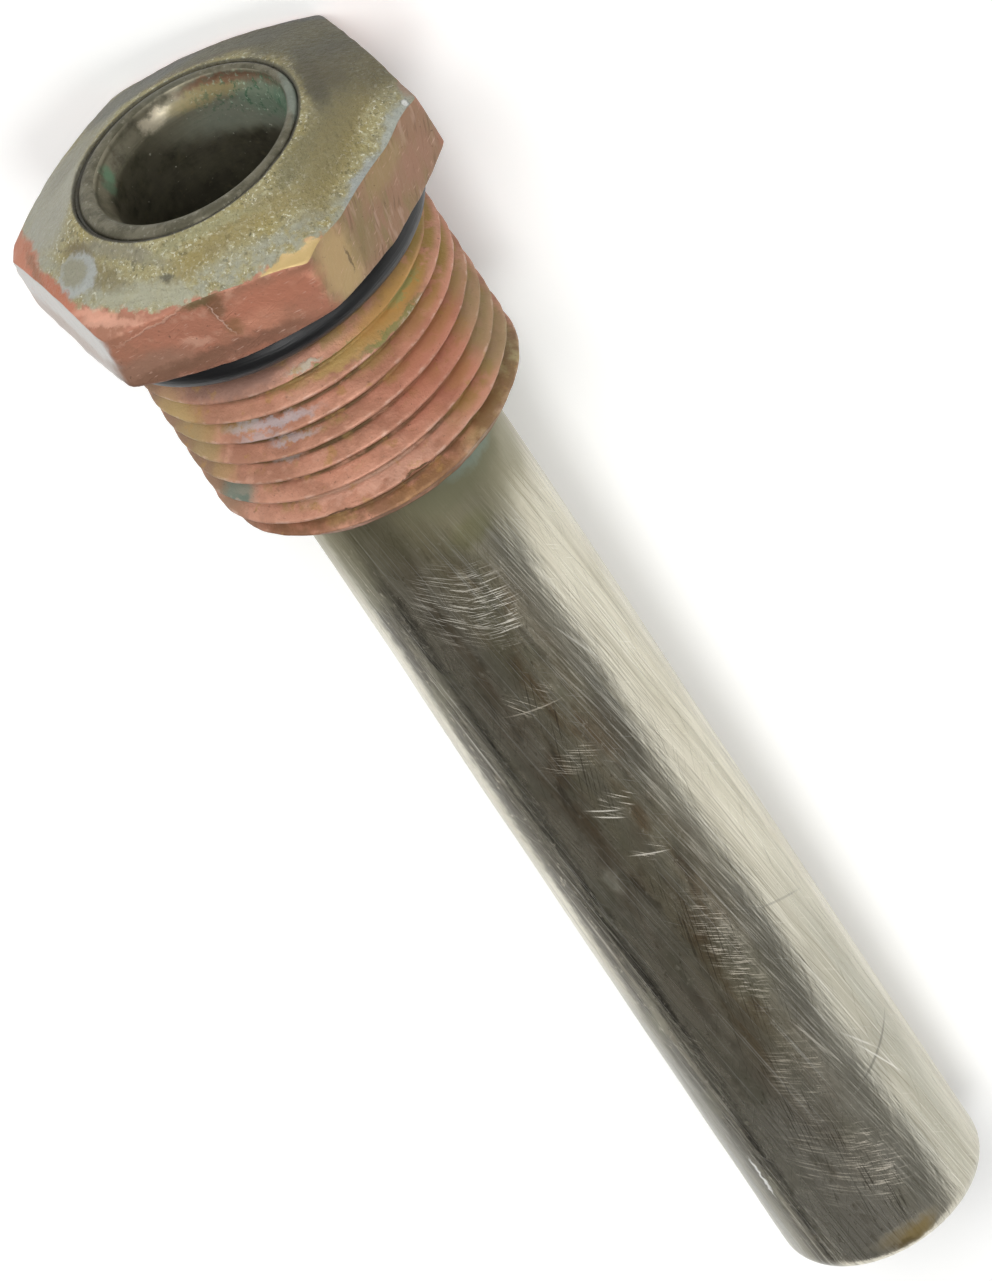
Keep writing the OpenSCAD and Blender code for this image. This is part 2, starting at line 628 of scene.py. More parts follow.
@dataclass
class CrownPatina(DezincifiedBrass):
    """Lime and verdigris crust on the crown of a brass head.

    Grainy, dull and olive where the crust is thick, smooth grey where it was wiped, and bare pink or
    yellow brass at the corners, outside a crust that stops along a circle. The gap round the tube's
    mouth is darkened with grime and painted shade, the painted shade darkest on its upper side, and a
    dark patch beside the mouth is painted shade. The crust stops at the border, a radius about a point
    off the axis.
    """

    ground = Ground("crown_patina", Sheet.FACE_ON, "#b07862", 0.5, 0.3)

    gap_r: float
    gap_centre: Vector
    border: float = 12.3
    off_centre: tuple[float, float] = (-1.212, -0.7)

    def dress(self) -> None:
        """Lays crust over copper, then stains, a patch of painted shade, bare corners and the grime
        and painted shade in the gap.
        """
        self.skin()
        self.patches([
            Patch(-26.0, 12.3, 2.9, 0.9, "#cbb078", 0.95, 0.3, 0.42, 0.4),
            Patch(-33.0, 11.6, 1.4, 0.35, "#dcc08e", 0.6, 0.8, 0.4, 0.4),
            Patch(78.0, 11.6, 2.4, 1.0, "#a5785f", 0.6, 0.5, 0.5, 0.3),
            Patch(30.0, 11.6, 2.4, 0.25, "#d9a58e", 0.7, 0.9, 0.45, 0.4),
        ])
        from_middle = self.distance(Vector(self.off_centre))
        torn = self.add("ShaderNodeMath", {
            0: self.mottle(0.8, 0.3, 0.7, 0.5), 1: from_middle}, operation="ADD").outputs[0]
        crust = self.mask(torn, self.border + 0.45, self.border + 0.15)
        self.coat("#a39a70", crust, 0.75, 0.05)
        self.grain(crust)
        outer = self.mask(from_middle, self.border - 1.9, self.border - 0.9, within=crust)
        self.coat("#a5a594", self.mottle(0.9, 0.34, 0.56, 0.8, 31.0, within=outer))
        self.patches([
            Patch(-95.0, 8.4, 4.0, 1.1, "#6e684e", 0.8, 0.9, 0.6, 0.1),
            Patch(-60.0, 7.9, 3.0, 0.7, "#77714f", 0.7, 0.9, 0.6, 0.1),
            Patch(36.0, 7.9, 4.0, 0.4, "#868270", 0.7, 0.9, 0.6, 0.1),
            Patch(98.0, 9.2, 4.4, 2.2, "#a3a296", 0.85, 0.7, 0.5, 0.3),
            Patch(125.0, 9.0, 3.6, 1.6, "#8d8b7c", 0.8, 0.8, 0.5, 0.3),
            Patch(-70.0, 9.2, 5.0, 0.9, "#887a4a", 0.7, 0.9, 0.6, 0.15),
            Patch(-108.0, 7.7, 3.6, 0.6, "#4d4a3a", 0.8, 0.9, 0.6, 0.15),
            Patch(178.0, 7.8, 5.0, 0.4, "#6d5546", 0.5, 0.9, 0.6, 0.15),
            Patch(-20.0, 8.6, 5.0, 0.7, "#938452", 0.6, 0.9, 0.6, 0.15),
            # Painted shade: the dark patch at -112 degrees, beside the mouth.
            Patch(-112.0, 10.0, 3.6, 3.2, "#554f3b", 0.8, 0.9, 0.6, 0.1),
            Patch(-142.0, 9.9, 4.2, 2.8, "#4e4c3e", 0.85, 0.8, 0.55, 0.15),
            Patch(-178.0, 9.9, 4.6, 2.6, "#58574b", 0.85, 0.8, 0.55, 0.15),
            Patch(155.0, 10.2, 4.0, 2.0, "#64655f", 0.85, 0.7, 0.5, 0.2),
            Patch(-160.0, 12.3, 5.0, 0.7, "#50565c", 0.7, 0.8, 0.5, 0.2),
            Patch(-70.0, 8.6, 4.4, 1.1, "#7f7755", 0.6, 0.9, 0.6, 0.1),
            Patch(20.0, 10.3, 3.6, 0.6, "#adab93", 0.7, 0.9),
            Patch(44.0, 9.2, 2.8, 0.7, "#7b7150", 0.65, 0.9),
            Patch(56.0, 8.6, 1.4, 0.6, "#6a5c3c", 0.6, 0.9),
            Patch(51.0, 9.6, 1.6, 1.15, "#aeb2b0", 0.85, 0.3, 0.6, 0.1, 0.0, 0.06),
            Patch(53.0, 9.55, 1.15, 0.75, "#96937d", 0.9, 0.5, 0.7, 0.1, 0.0, -0.05),
            Patch(10.0, 9.6, 0.42, 0.28, "#5a584c", 0.8, 0.8),
            Patch(-6.0, 7.7, 3.6, 0.35, "#9b9874", 0.6, 0.9),
            Patch(-58.0, 11.2, 2.4, 0.45, "#a3a8a7", 0.8, 0.7, 0.7, 0.0, -8.0, 0.07),
            Patch(-78.0, 11.7, 2.6, 0.5, "#a9ada6", 0.8, 0.7, 0.7, 0.0, 8.0, 0.07),
        ], within=crust)
        self.patches([
            Patch(78.0, 11.8, 3.4, 1.2, "#b9765a", 0.95, 0.4, 0.5, 0.3),
            Patch(60.0, 11.35, 3.8, 0.9, "#b97459", 0.95, 0.4, 0.5, 0.3),
            Patch(74.0, 11.0, 2.0, 0.25, "#8d6a50", 0.6, 0.9, 0.6, 0.2),
            Patch(36.0, 11.3, 1.6, 0.3, "#e0a68e", 0.7, 0.9, 0.4, 0.4),
            Patch(-98.0, 12.4, 1.6, 0.5, "#9b7765", 0.7, 0.8, 0.6, 0.1),
            Patch(-88.0, 12.2, 0.22, 0.2, "#dededa", 0.9, 0.5, 0.7, 0.0, 0.0, 0.1),
        ])
        # Dark ring in the gap round the mouth: grime and painted shade; the darker coat on its upper
        # side is painted shade.
        from_gap = self.distance(self.gap_centre)
        gap_grime_and_shade = self.mask(from_gap, self.gap_r + 0.22, self.gap_r + 0.04, 0.85)
        self.coat("#5c594a", gap_grime_and_shade, 0.7, 0.1)
        upper = self.add("ShaderNodeSeparateXYZ", {0: self.place}).outputs["X"]
        self.coat("#332f25", self.mask(upper, -3.0, 3.0, within=gap_grime_and_shade), 0.7, 0.1)
        self.raised(self.mottle(0.4, 0.3, 0.7, within=crust), 0.10)

    def grain(self, crust: Socket) -> None:
        """Grain of the crust: olive lumps, pale lime specks and dark pits.

        Args:
            crust: Mask of the crust.
        """
        for colour, size, low, high, top, shift in (
                ("#a2945a", 2.6, 0.42, 0.66, 0.7, 0.0),
                ("#8b8568", 1.6, 0.50, 0.66, 0.7, 17.0),
                ("#c2bd9c", 0.40, 0.50, 0.68, 0.7, 4.0),
                ("#5f5a3e", 0.42, 0.54, 0.70, 0.75, 11.0),
                ("#e6e4d0", 0.20, 0.56, 0.66, 0.85, 23.0),
                ("#4f4a33", 0.22, 0.60, 0.70, 0.75, 43.0)):
            self.coat(colour, self.mottle(size, low, high, top, shift, within=crust))

    def distance(self, centre: Vector) -> Socket:
        """Distance, as seen along the axis, from a centre beside it.

        Args:
            centre: The centre, of which X and Y count.

        Returns:
            The distance in millimetres.
        """
        moved = self.add("ShaderNodeMapping", {
            "Vector": self.place, "Location": (-centre.x, -centre.y, 0.0),
            "Scale": (1.0, 1.0, 0.0)}).outputs[0]
        return self.add("ShaderNodeVectorMath", {0: moved}, operation="LENGTH").outputs["Value"]


@dataclass
class HexagonCopper(DezincifiedBrass):
    """Pink copper skin on the flats, rubbed by a wrench.

    Salmon on the upper flat, browner and golden on the next, and pale with lime below, where the pale
    grey is a painted reflection of the white table.
    """

    ground = Ground("hexagon_copper", Sheet.UNROLLED, "#b57a62", 0.48, 0.3)

    def dress(self) -> None:
        """Lays each flat's colour, with a painted reflection on the pale one, then stains and wrench
        marks.
        """
        self.skin()
        self.patches([
            Patch(-60.0, -3.0, 6.75, 6.0, "#98795f", 0.9, 0.12, 0.5, 0.3),
            # The pale grey flat at 60 degrees is a painted reflection of the white table.
            Patch(60.0, -3.0, 6.6, 6.0, "#c4c3c0", 0.94, 0.12, 0.35, 0.5),
            Patch(64.0, -1.4, 5.5, 1.0, "#a98a76", 0.5, 0.9, 0.45),
            Patch(120.0, -3.0, 6.4, 6.0, "#8d8274", 0.7, 0.3, 0.5, 0.3),
        ])
        self.browned_flat()
        self.patches([
            Patch(-38.0, -2.4, 1.6, 2.4, "#bb9f70", 0.85, 0.8, 0.42, 0.4),
            Patch(-48.0, -1.9, 1.4, 1.2, "#8b7a52", 0.6, 0.9),
            Patch(-68.0, -3.6, 2.4, 0.9, "#a18a60", 0.7, 0.9),
            Patch(-78.0, -2.0, 2.2, 1.1, "#a37c66", 0.7, 0.9),
            Patch(-18.0, -3.2, 2.8, 0.9, "#c27e64", 0.7, 0.9, 0.45),
            Patch(24.0, -1.6, 3.0, 1.1, "#95735f", 0.75, 0.9, 0.6),
            Patch(3.0, -0.8, 6.0, 0.6, "#7f5a47", 0.75, 0.9, 0.6),
            Patch(1.0, -4.9, 1.5, 0.6, "#5f5230", 0.9, 0.8, 0.6, 0.1),
            Patch(-2.2, -4.0, 0.55, 0.9, "#6d4d31", 0.75, 0.9, 0.6, 0.1),
            Patch(-4.0, -2.3, 0.6, 0.6, "#7b5a34", 0.6, 0.9, 0.6, 0.1),
            Patch(-22.0, -4.9, 3.4, 0.3, "#7f5742", 0.6, 0.9, 0.6, 0.1),
            Patch(20.0, -1.0, 3.6, 0.5, "#76543f", 0.6, 0.9, 0.6, 0.1),
            Patch(-12.0, -2.0, 1.4, 0.7, "#cf8e73", 0.6, 0.9, 0.45),
            Patch(16.0, -4.3, 2.4, 0.09, "#dcb09a", 0.5, 0.9, 0.4, 0.4, 9.0, 0.05),
            Patch(-1.6, -3.1, 0.07, 1.2, "#dcb9a8", 0.55, 0.8, 0.5, 0.3, 10.0, -0.03),
            Patch(8.0, -2.2, 1.0, 0.3, "#d6a891", 0.5, 0.9, 0.5, 0.3, -20.0, 0.03),
            Patch(-41.0, -2.1, 0.10, 0.75, "#6a553a", 0.7, 0.8, 0.6, 0.1, -10.0, -0.04),
        ])
        self.coat("#d2ab99", self.strokes(0.9, 0.14, 80.0, 0.64, 0.74, 0.6, 7.0), 0.5)
        self.coat("#5f4636", self.mottle(0.25, 0.64, 0.76, 0.7, 33.0), 0.7)
        self.raised(self.strokes(3.0, 0.12, 70.0, 0.55, 0.75), 0.012)

    def browned_flat(self) -> None:
        """Olive and brown smears, drawn slantwise, on the flat that faces away from the pink one."""
        flat = self.spot(Patch(-60.0, -3.0, 6.9, 6.0, strength=1.0, soft=0.12), frayed=False)
        for colour, length, width, turn, low, high, top, shift, rough, metal in (
                ("#8d7a54", 3.2, 0.8, 24.0, 0.46, 0.62, 0.75, 0.0, 0.5, 0.3),
                ("#7c6049", 1.8, 0.25, 30.0, 0.54, 0.68, 0.7, 13.0, 0.6, 0.2),
                ("#b99a86", 2.2, 0.5, 20.0, 0.56, 0.70, 0.6, 29.0, 0.5, 0.3)):
            smears = self.strokes(length, width, turn, low, high, top, shift, flat)
            self.coat(colour, smears, rough, metal)


@dataclass
class ThreadCopper(DezincifiedBrass):
    """Pink copper skin on the thread, with olive scale in the roots and pale crests, rubbed and with a
    painted highlight.

    The girth is the radius of the crests. Root is the radius of the roots, and end the place of the
    end of the shank.
    """

    ground = Ground("thread_copper", Sheet.UNROLLED, "#c9937a", 0.5, 0.3)

    root: float
    end: float

    def sunk(self, low: float, high: float, within: Socket | None = None) -> Socket:
        """Mask by depth below the crests, as shares of the thread's depth, within another mask."""
        depth = self.girth - self.root
        return self.mask(self.radius, self.girth - low * depth, self.girth - high * depth,
                         within=within)

    def dress(self) -> None:
        """Lays scale in the roots and flanks, then stains, the end band and the pale crests, rubbed
        metal with a painted highlight.
        """
        self.skin()
        roots = self.sunk(0.84, 1.0)
        self.coat("#644c2b", self.mottle(1.6, 0.25, 0.5, within=roots), 0.65, 0.2)
        deep = self.sunk(0.3, 0.75)
        self.coat("#a0854f", self.mottle(3.0, 0.52, 0.64, 0.8, 5.0, within=deep), 0.6, 0.25)
        across = self.add("ShaderNodeSeparateXYZ", {0: self.place}).outputs["Y"]
        side = self.mask(across, -0.55 * self.girth, -0.95 * self.girth)
        flank = self.sunk(0.05, 0.5, side)
        self.coat("#a58a48", self.mottle(1.6, 0.34, 0.52, 0.95, 8.0, within=flank), 0.6, 0.25)
        self.patches([
            Patch(60.0, 8.0, 2.2, 7.0, "#80684a", 0.75, 0.9, 0.6),
            Patch(44.0, 5.6, 1.6, 2.2, "#ab905c", 0.8, 0.9, 0.5),
            Patch(46.0, 9.0, 1.2, 1.8, "#a98c5a", 0.7, 0.9, 0.5),
            Patch(45.0, 11.4, 1.4, 0.7, "#6f8478", 0.8, 1.0, 0.75, 0.0),
            Patch(41.0, 11.9, 1.0, 0.3, "#5f7468", 0.8, 0.9, 0.75, 0.0),
            Patch(11.0, 6.4, 3.0, 0.2, "#b3adb0", 0.75, 0.9, 0.7, 0.0),
            Patch(15.0, 6.85, 1.6, 0.16, "#b3a9aa", 0.6, 0.9, 0.7, 0.0),
            Patch(6.0, 7.9, 1.6, 0.18, "#ada5a6", 0.7, 0.9, 0.7, 0.0),
            Patch(15.0, 9.3, 1.0, 0.2, "#ab9c96", 0.6, 0.9, 0.7, 0.0),
            Patch(-34.0, 4.6, 3.6, 0.26, "#bd9f62", 0.7, 0.9, 0.5),
            Patch(-52.0, 3.9, 3.8, 0.8, "#c69a55", 0.8, 0.9, 0.5),
            Patch(-26.0, 3.9, 4.2, 0.20, "#7c8048", 0.9, 0.7, 0.7, 0.0),
            Patch(-46.0, 4.9, 2.6, 0.14, "#7c8048", 0.8, 0.8, 0.7, 0.0),
            Patch(52.0, 5.2, 1.8, 0.9, "#b79b64", 0.7, 0.9, 0.5),
            Patch(50.0, 7.6, 1.5, 1.6, "#a58d60", 0.7, 0.9, 0.5),
            Patch(-60.0, 9.0, 5.0, 3.0, "#b9705a", 0.5, 1.0, 0.5),
            Patch(-57.0, 5.2, 1.6, 0.2, "#c9c8ae", 0.85, 0.9, 0.7, 0.0, 0.0, 0.03),
            Patch(-62.0, 4.3, 1.8, 0.16, "#8a9a63", 0.7, 0.9, 0.7, 0.0),
            Patch(-12.0, 3.45, 1.0, 0.16, "#b9bca8", 0.7, 0.9, 0.7, 0.0, 0.0, 0.03),
            Patch(-88.0, 11.0, 3.0, 3.4, "#a3906a", 0.7, 0.9, 0.6),
            Patch(-70.0, 14.4, 4.0, 0.5, "#a99a68", 0.75, 0.9, 0.6),
            Patch(-92.0, 13.6, 2.4, 0.8, "#b0a57c", 0.75, 0.9, 0.6),
            Patch(-24.0, 14.3, 2.4, 0.3, "#a5803f", 0.6, 0.9, 0.6),
            Patch(-66.0, 14.7, 4.4, 0.4, "#cdb096", 0.75, 0.9, 0.5),
            Patch(32.0, 14.2, 3.0, 0.5, "#9c6545", 0.7, 0.9, 0.6),
            Patch(18.0, 3.0, 4.4, 0.8, "#8f6f62", 0.8, 0.9, 0.6),
            Patch(24.0, 4.9, 3.0, 0.35, "#ad7f66", 0.6, 0.9, 0.6),
            Patch(-8.0, 12.5, 5.5, 0.35, "#d9ad97", 0.6, 0.9, 0.5),
            Patch(-25.0, 13.15, 1.1, 0.13, "#6b5430", 0.85, 0.5, 0.8, 0.0, 0.0, -0.06),
            Patch(6.0, 13.35, 1.2, 0.13, "#6b5430", 0.85, 0.5, 0.8, 0.0, 0.0, -0.06),
        ])
        band = self.mask(self.along, self.end - 2.1, self.end - 1.4)
        self.coat("#7d593b", self.mottle(1.2, 0.32, 0.6, 0.75, 14.0, within=band), 0.6, 0.2)
        # Pale crests: rubbed copper, and a painted highlight along them.
        edge = self.sunk(0.10, 0.01)
        self.coat("#d6b5a2", self.mottle(0.9, 0.50, 0.66, 0.5, 2.0, within=edge), 0.4, 0.4)
        self.coat("#5a3f2a", self.mottle(0.22, 0.66, 0.76, 0.7, 51.0), 0.7)
        self.coat("#b08a50", self.mottle(1.3, 0.60, 0.70, 0.6, 61.0), 0.6)


@dataclass
class TarnishedTube(Finish):
    """Tinned and drawn tube, tarnished grey-brown.

    Fairly mirror-like under a thin brown film, with wiped lengthwise hairlines, patches of short
    bright scratches and a stain at the tip. Tip is the place of the tube's closed end.
    """

    ground = Ground("tarnished_tube", Sheet.UNROLLED, "#d0cbba", 0.24, 1.0)

    tip: float

    def dress(self) -> None:
        """Lays the film first, then hairlines, the stains at the two ends and the rubs."""
        self.film()
        self.hairlines()
        self.ends()
        self.rubs()

    def film(self) -> None:
        """Brown film over the side that lay up in the boiler, with grime along its middle, and a
        painted dark reflection in a strip along one side.
        """
        middle = 0.5 * self.tip
        self.coat("#bbb4a0", self.mottle(3.0, 0.42, 0.66, 0.6, stretch=3.0), 0.28)
        self.patches([
            Patch(-2.0, middle, 4.4, 60.0, "#bcb192", 0.85, 0.5),
            Patch(12.0, middle, 1.8, 60.0, "#d3cbb9", 0.6, 0.9),
            Patch(-6.0, 72.5, 5.0, 9.5, "#e0dac9", 0.9, 0.9),
            # Painted dark reflection: the dark strip at 33.5 degrees, where the white table's
            # reflection would begin.
            Patch(33.5, middle, 1.45, 60.0, "#4a463c", 0.95, 0.6),
            Patch(61.0, 69.0, 2.0, 14.0, "#7f7f79", 0.8, 1.0),
            Patch(-62.0, 66.0, 3.4, 13.0, "#a1a197", 0.6, 1.0),
            Patch(-54.0, 66.3, 1.5, 1.9, "#85857e", 0.65, 1.0, turn=-12.0),
            Patch(-46.0, 73.6, 1.3, 2.6, "#8f8f86", 0.6, 1.0, turn=-12.0),
            Patch(-45.0, 46.0, 2.6, 34.0, "#d6d1c0", 0.5, 0.9, 0.34),
            Patch(-50.0, 21.0, 1.4, 4.0, "#87857a", 0.6, 1.0, turn=-8.0),
            Patch(-40.0, 37.0, 0.9, 5.0, "#77746a", 0.6, 1.0, turn=-8.0),
            Patch(-42.0, 56.0, 0.8, 7.0, "#8a877c", 0.5, 1.0, turn=-6.0),
        ])
        brown = self.spot(Patch(-12.0, middle - 2.0, 2.6, 30.0, strength=1.0, soft=1.0))
        self.coat("#7b6549", self.mottle(2.0, 0.42, 0.62, 0.8, 9.0, 3.0, brown), 0.34)
        self.coat("#3f3b33", self.mottle(0.9, 0.52, 0.66, 0.6, 19.0, 5.0, brown), 0.36)
        grimy = self.spot(Patch(6.0, middle, 5.0, 60.0, strength=1.0, soft=0.8))
        for colour, size, low, top, shift in (
                ("#8f8d76", 3.4, 0.50, 0.6, 3.0), ("#e2dac6", 0.35, 0.58, 0.6, 27.0),
                ("#6a6250", 0.30, 0.57, 0.6, 37.0), ("#857c68", 1.1, 0.54, 0.5, 47.0)):
            self.coat(colour, self.mottle(size, low, low + 0.16, top, shift, 1.6, grimy), 0.34)

    def ends(self) -> None:
        """Olive scale by the thread, and a stain and a few marks towards the tip."""
        self.coat("#827b5c", self.mask(self.along, 25.0, 16.5, 0.75), 0.45, 0.85)
        self.patches([
            Patch(-52.0, 16.2, 4.6, 4.1, "#7f7b62", 0.85, 1.0, 0.5, 0.6),
            Patch(46.0, 68.0, 1.2, 12.0, "#5f5d54", 0.5, 0.9),
            Patch(-33.0, 20.6, 1.4, 0.9, "#868557", 0.45, 1.0),
            Patch(-44.0, 17.2, 3.4, 1.4, "#77765b", 0.6, 0.9, 0.6, 0.5),
            Patch(-60.0, 16.6, 2.6, 0.9, "#8b9a8c", 0.7, 0.9, 0.6, 0.3),
            Patch(-84.0, 19.4, 1.2, 1.6, "#a09c86", 0.6, 1.0, 0.5, 0.6),
            Patch(-19.0, 77.2, 2.0, 0.7, "#7d6a3c", 0.7, 0.9, 0.5, 0.6),
            Patch(-24.0, 77.5, 1.1, 0.5, "#927c42", 0.65, 0.9, 0.5, 0.5),
            Patch(-16.0, 77.8, 0.8, 0.3, "#6a5a34", 0.7, 0.9, 0.5, 0.5),
            Patch(37.0, 70.5, 0.12, 1.5, "#f2f2ee", 0.9, 0.6, 0.5, 0.2),
            Patch(8.0, 46.0, 0.4, 0.9, "#8f9188", 0.4, 1.0, 0.5, 0.4),
        ])

    def hairlines(self) -> None:
        """Fine scratches all along the tube, and softer ones by the edge of its brown film."""
        self.raised(self.strokes(20.0, 0.10, -3.0, 0.42, 0.60), 0.0016)
        self.raised(self.strokes(12.0, 0.14, -9.0, 0.50, 0.62, 1.0, 17.0), -0.002)
        self.raised(self.strokes(6.0, 0.12, 22.0, 0.56, 0.66, 1.0, 41.0), -0.0015)
        self.raised(self.mottle(2.2, 0.3, 0.7, stretch=3.0), 0.032)
        self.coat("#a8a391", self.strokes(26.0, 0.9, -5.0, 0.46, 0.64, 0.45, 5.0), 0.3)
        edge = self.spot(Patch(-45.0, 46.0, 1.7, 40.0, strength=1.0, soft=1.0))
        self.coat("#f1ecdd", self.strokes(5.0, 0.10, -9.0, 0.52, 0.64, 0.4, 3.0, edge), 0.45, 0.6)
        self.coat("#5f5b4f", self.strokes(6.0, 0.12, -8.0, 0.52, 0.64, 0.4, 31.0, edge), 0.45)
        for colour, length, width, turn, low, top in (
                ("#8b8573", 14.0, 0.07, -5.0, 0.57, 0.5), ("#f4f1e6", 14.0, 0.07, -7.0, 0.61, 0.5),
                ("#7c7666", 9.0, 0.07, -11.0, 0.61, 0.5), ("#4a4538", 5.0, 0.07, 12.0, 0.66, 0.6),
                ("#f4f1e6", 3.5, 0.06, -42.0, 0.68, 0.5), ("#7a7565", 4.0, 0.06, 30.0, 0.66, 0.6)):
            lines = self.strokes(length, width, turn, low, low + 0.06, top, length * 7.0)
            self.coat(colour, lines, 0.34)

    def rubs(self) -> None:
        """Patches of short scratches across the tube where something rubbed it, and single ones."""
        for patch, length, width, turn in (
                (Patch(-2.0, 24.4, 2.0, 2.8, "#f4efe2", 0.6, 0.9, metal=0.35), 2.0, 0.07, -50.0),
                (Patch(-21.0, 25.6, 1.2, 2.8, "#f4efe2", 0.75, 0.9, metal=0.35), 1.8, 0.08, -72.0),
                (Patch(-8.0, 32.3, 1.4, 0.9, "#e6dccb", 0.7, 0.9, metal=0.35), 2.6, 0.07, -38.0),
                (Patch(-10.0, 37.3, 1.6, 0.8, "#e6dccb", 0.6, 0.9, metal=0.35), 2.6, 0.07, -53.0),
                (Patch(-18.0, 41.2, 1.0, 0.9, "#f0e8d8", 0.75, 0.9, metal=0.35), 2.2, 0.08, -40.0),
                (Patch(-20.0, 45.2, 1.0, 0.7, "#f0e8d8", 0.6, 0.9, metal=0.35), 2.2, 0.07, -44.0),
                (Patch(-22.0, 54.0, 1.0, 4.4, "#e9dfcd", 0.7, 0.9, metal=0.35), 1.6, 0.07, -50.0),
                (Patch(-18.0, 63.5, 1.5, 2.6, "#d9cfbd", 0.5, 0.9, metal=0.4), 1.8, 0.07, -52.0),
                (Patch(-26.0, 71.8, 1.5, 2.8, "#e6dccb", 0.65, 0.9, metal=0.4), 1.6, 0.08, -58.0),
                (Patch(-4.0, 70.0, 2.2, 3.4, "#cfc6b4", 0.45, 0.9, metal=0.4), 2.4, 0.07, -50.0),
                (Patch(-20.0, 74.0, 1.6, 3.0, "#332f26", 0.75, 1.0), 3.5, 0.09, 3.0),
                (Patch(-12.0, 36.0, 0.8, 6.0, "#3b352b", 0.7, 1.0), 7.0, 0.10, 16.0),
                (Patch(-15.0, 53.0, 1.0, 7.0, "#3b352b", 0.7, 1.0), 6.0, 0.09, 12.0),
                (Patch(-10.0, 66.0, 1.8, 5.0, "#3b352b", 0.7, 1.0), 4.5, 0.08, 6.0)):
            scratches = self.strokes(length, width, turn, 0.55, 0.63, 1.0, patch.place,
                                     self.spot(patch))
            self.coat(patch.colour, scratches, 0.45, patch.metal)
        self.patches([
            Patch(-58.0, 66.5, 2.6, 0.10, "#77756b", 0.6, 1.0, 0.45, 0.5, 15.0),
            Patch(-60.0, 66.9, 2.0, 0.05, "#fbf9f0", 0.5, 1.0, 0.45, 0.5, 112.0),
            Patch(-55.0, 64.8, 1.4, 0.05, "#fbf9f0", 0.4, 1.0, 0.45, 0.5, 118.0),
            Patch(-64.0, 67.6, 1.2, 0.05, "#fbf9f0", 0.4, 1.0, 0.45, 0.5, 98.0),
            Patch(-62.0, 54.0, 2.0, 0.07, "#98958a", 0.5, 1.0, 0.45, 0.5, -30.0),
            Patch(-46.0, 31.0, 2.0, 0.05, "#fbf9f0", 0.35, 1.0, 0.45, 0.5, 108.0),
            Patch(-42.0, 44.5, 2.4, 0.06, "#5d594d", 0.4, 1.0, 0.45, 0.5, 97.0),
            Patch(-33.0, 33.5, 2.4, 0.05, "#efe9da", 0.3, 1.0, 0.45, 0.5, 101.0),
            Patch(-34.0, 62.5, 2.2, 0.05, "#efe9da", 0.35, 1.0, 0.45, 0.5, 104.0),
            Patch(-9.0, 41.3, 0.9, 0.05, "#f6f0e2", 0.9, 1.0, 0.45, 0.5, -30.0),
            Patch(-10.0, 41.9, 0.8, 0.05, "#f6f0e2", 0.9, 1.0, 0.45, 0.5, -34.0),
            Patch(-17.0, 45.4, 1.0, 0.05, "#f6f0e2", 0.8, 1.0, 0.45, 0.5, -26.0),
            Patch(-8.0, 33.0, 1.5, 0.05, "#e6dccb", 0.5, 1.0, 0.45, 0.5, -8.0),
        ], frayed=False)


@dataclass
class SpunEnd(Finish):
    """Closed end of the tinned tube, spun flat: faint rings, knocks and the tube's grey tarnish."""

    ground = Ground("spun_end", Sheet.FACE_ON, "#c6c0ae", 0.3, 1.0)

    ring_gap: float = 0.45

    def dress(self) -> None:
        """Lays tarnish, darker to the edge, then scratches and the rings of the spinning."""
        self.coat("#8f8872", self.mottle(1.8, 0.42, 0.62, 0.8), 0.38)
        self.coat("#6b6353", self.mask(self.radius, 0.55 * self.girth, self.girth, 0.6), 0.36)
        self.coat("#57503f", self.mottle(0.4, 0.58, 0.70, 0.7, 5.0), 0.45)
        for turn in (12.0, 71.0, 128.0):
            self.coat("#e4dfcf", self.strokes(3.0, 0.06, turn, 0.62, 0.68, 0.6, turn), 0.34)
        turns = self.add("ShaderNodeMath", {0: self.radius, 1: math.tau / self.ring_gap},
                         operation="MULTIPLY").outputs[0]
        rings = self.add("ShaderNodeMath", {0: turns}, operation="SINE").outputs[0]
        self.raised(self.mottle(1.5, 0.4, 0.6, within=rings), 0.002)
        self.raised(self.mottle(1.2, 0.3, 0.7), 0.02)


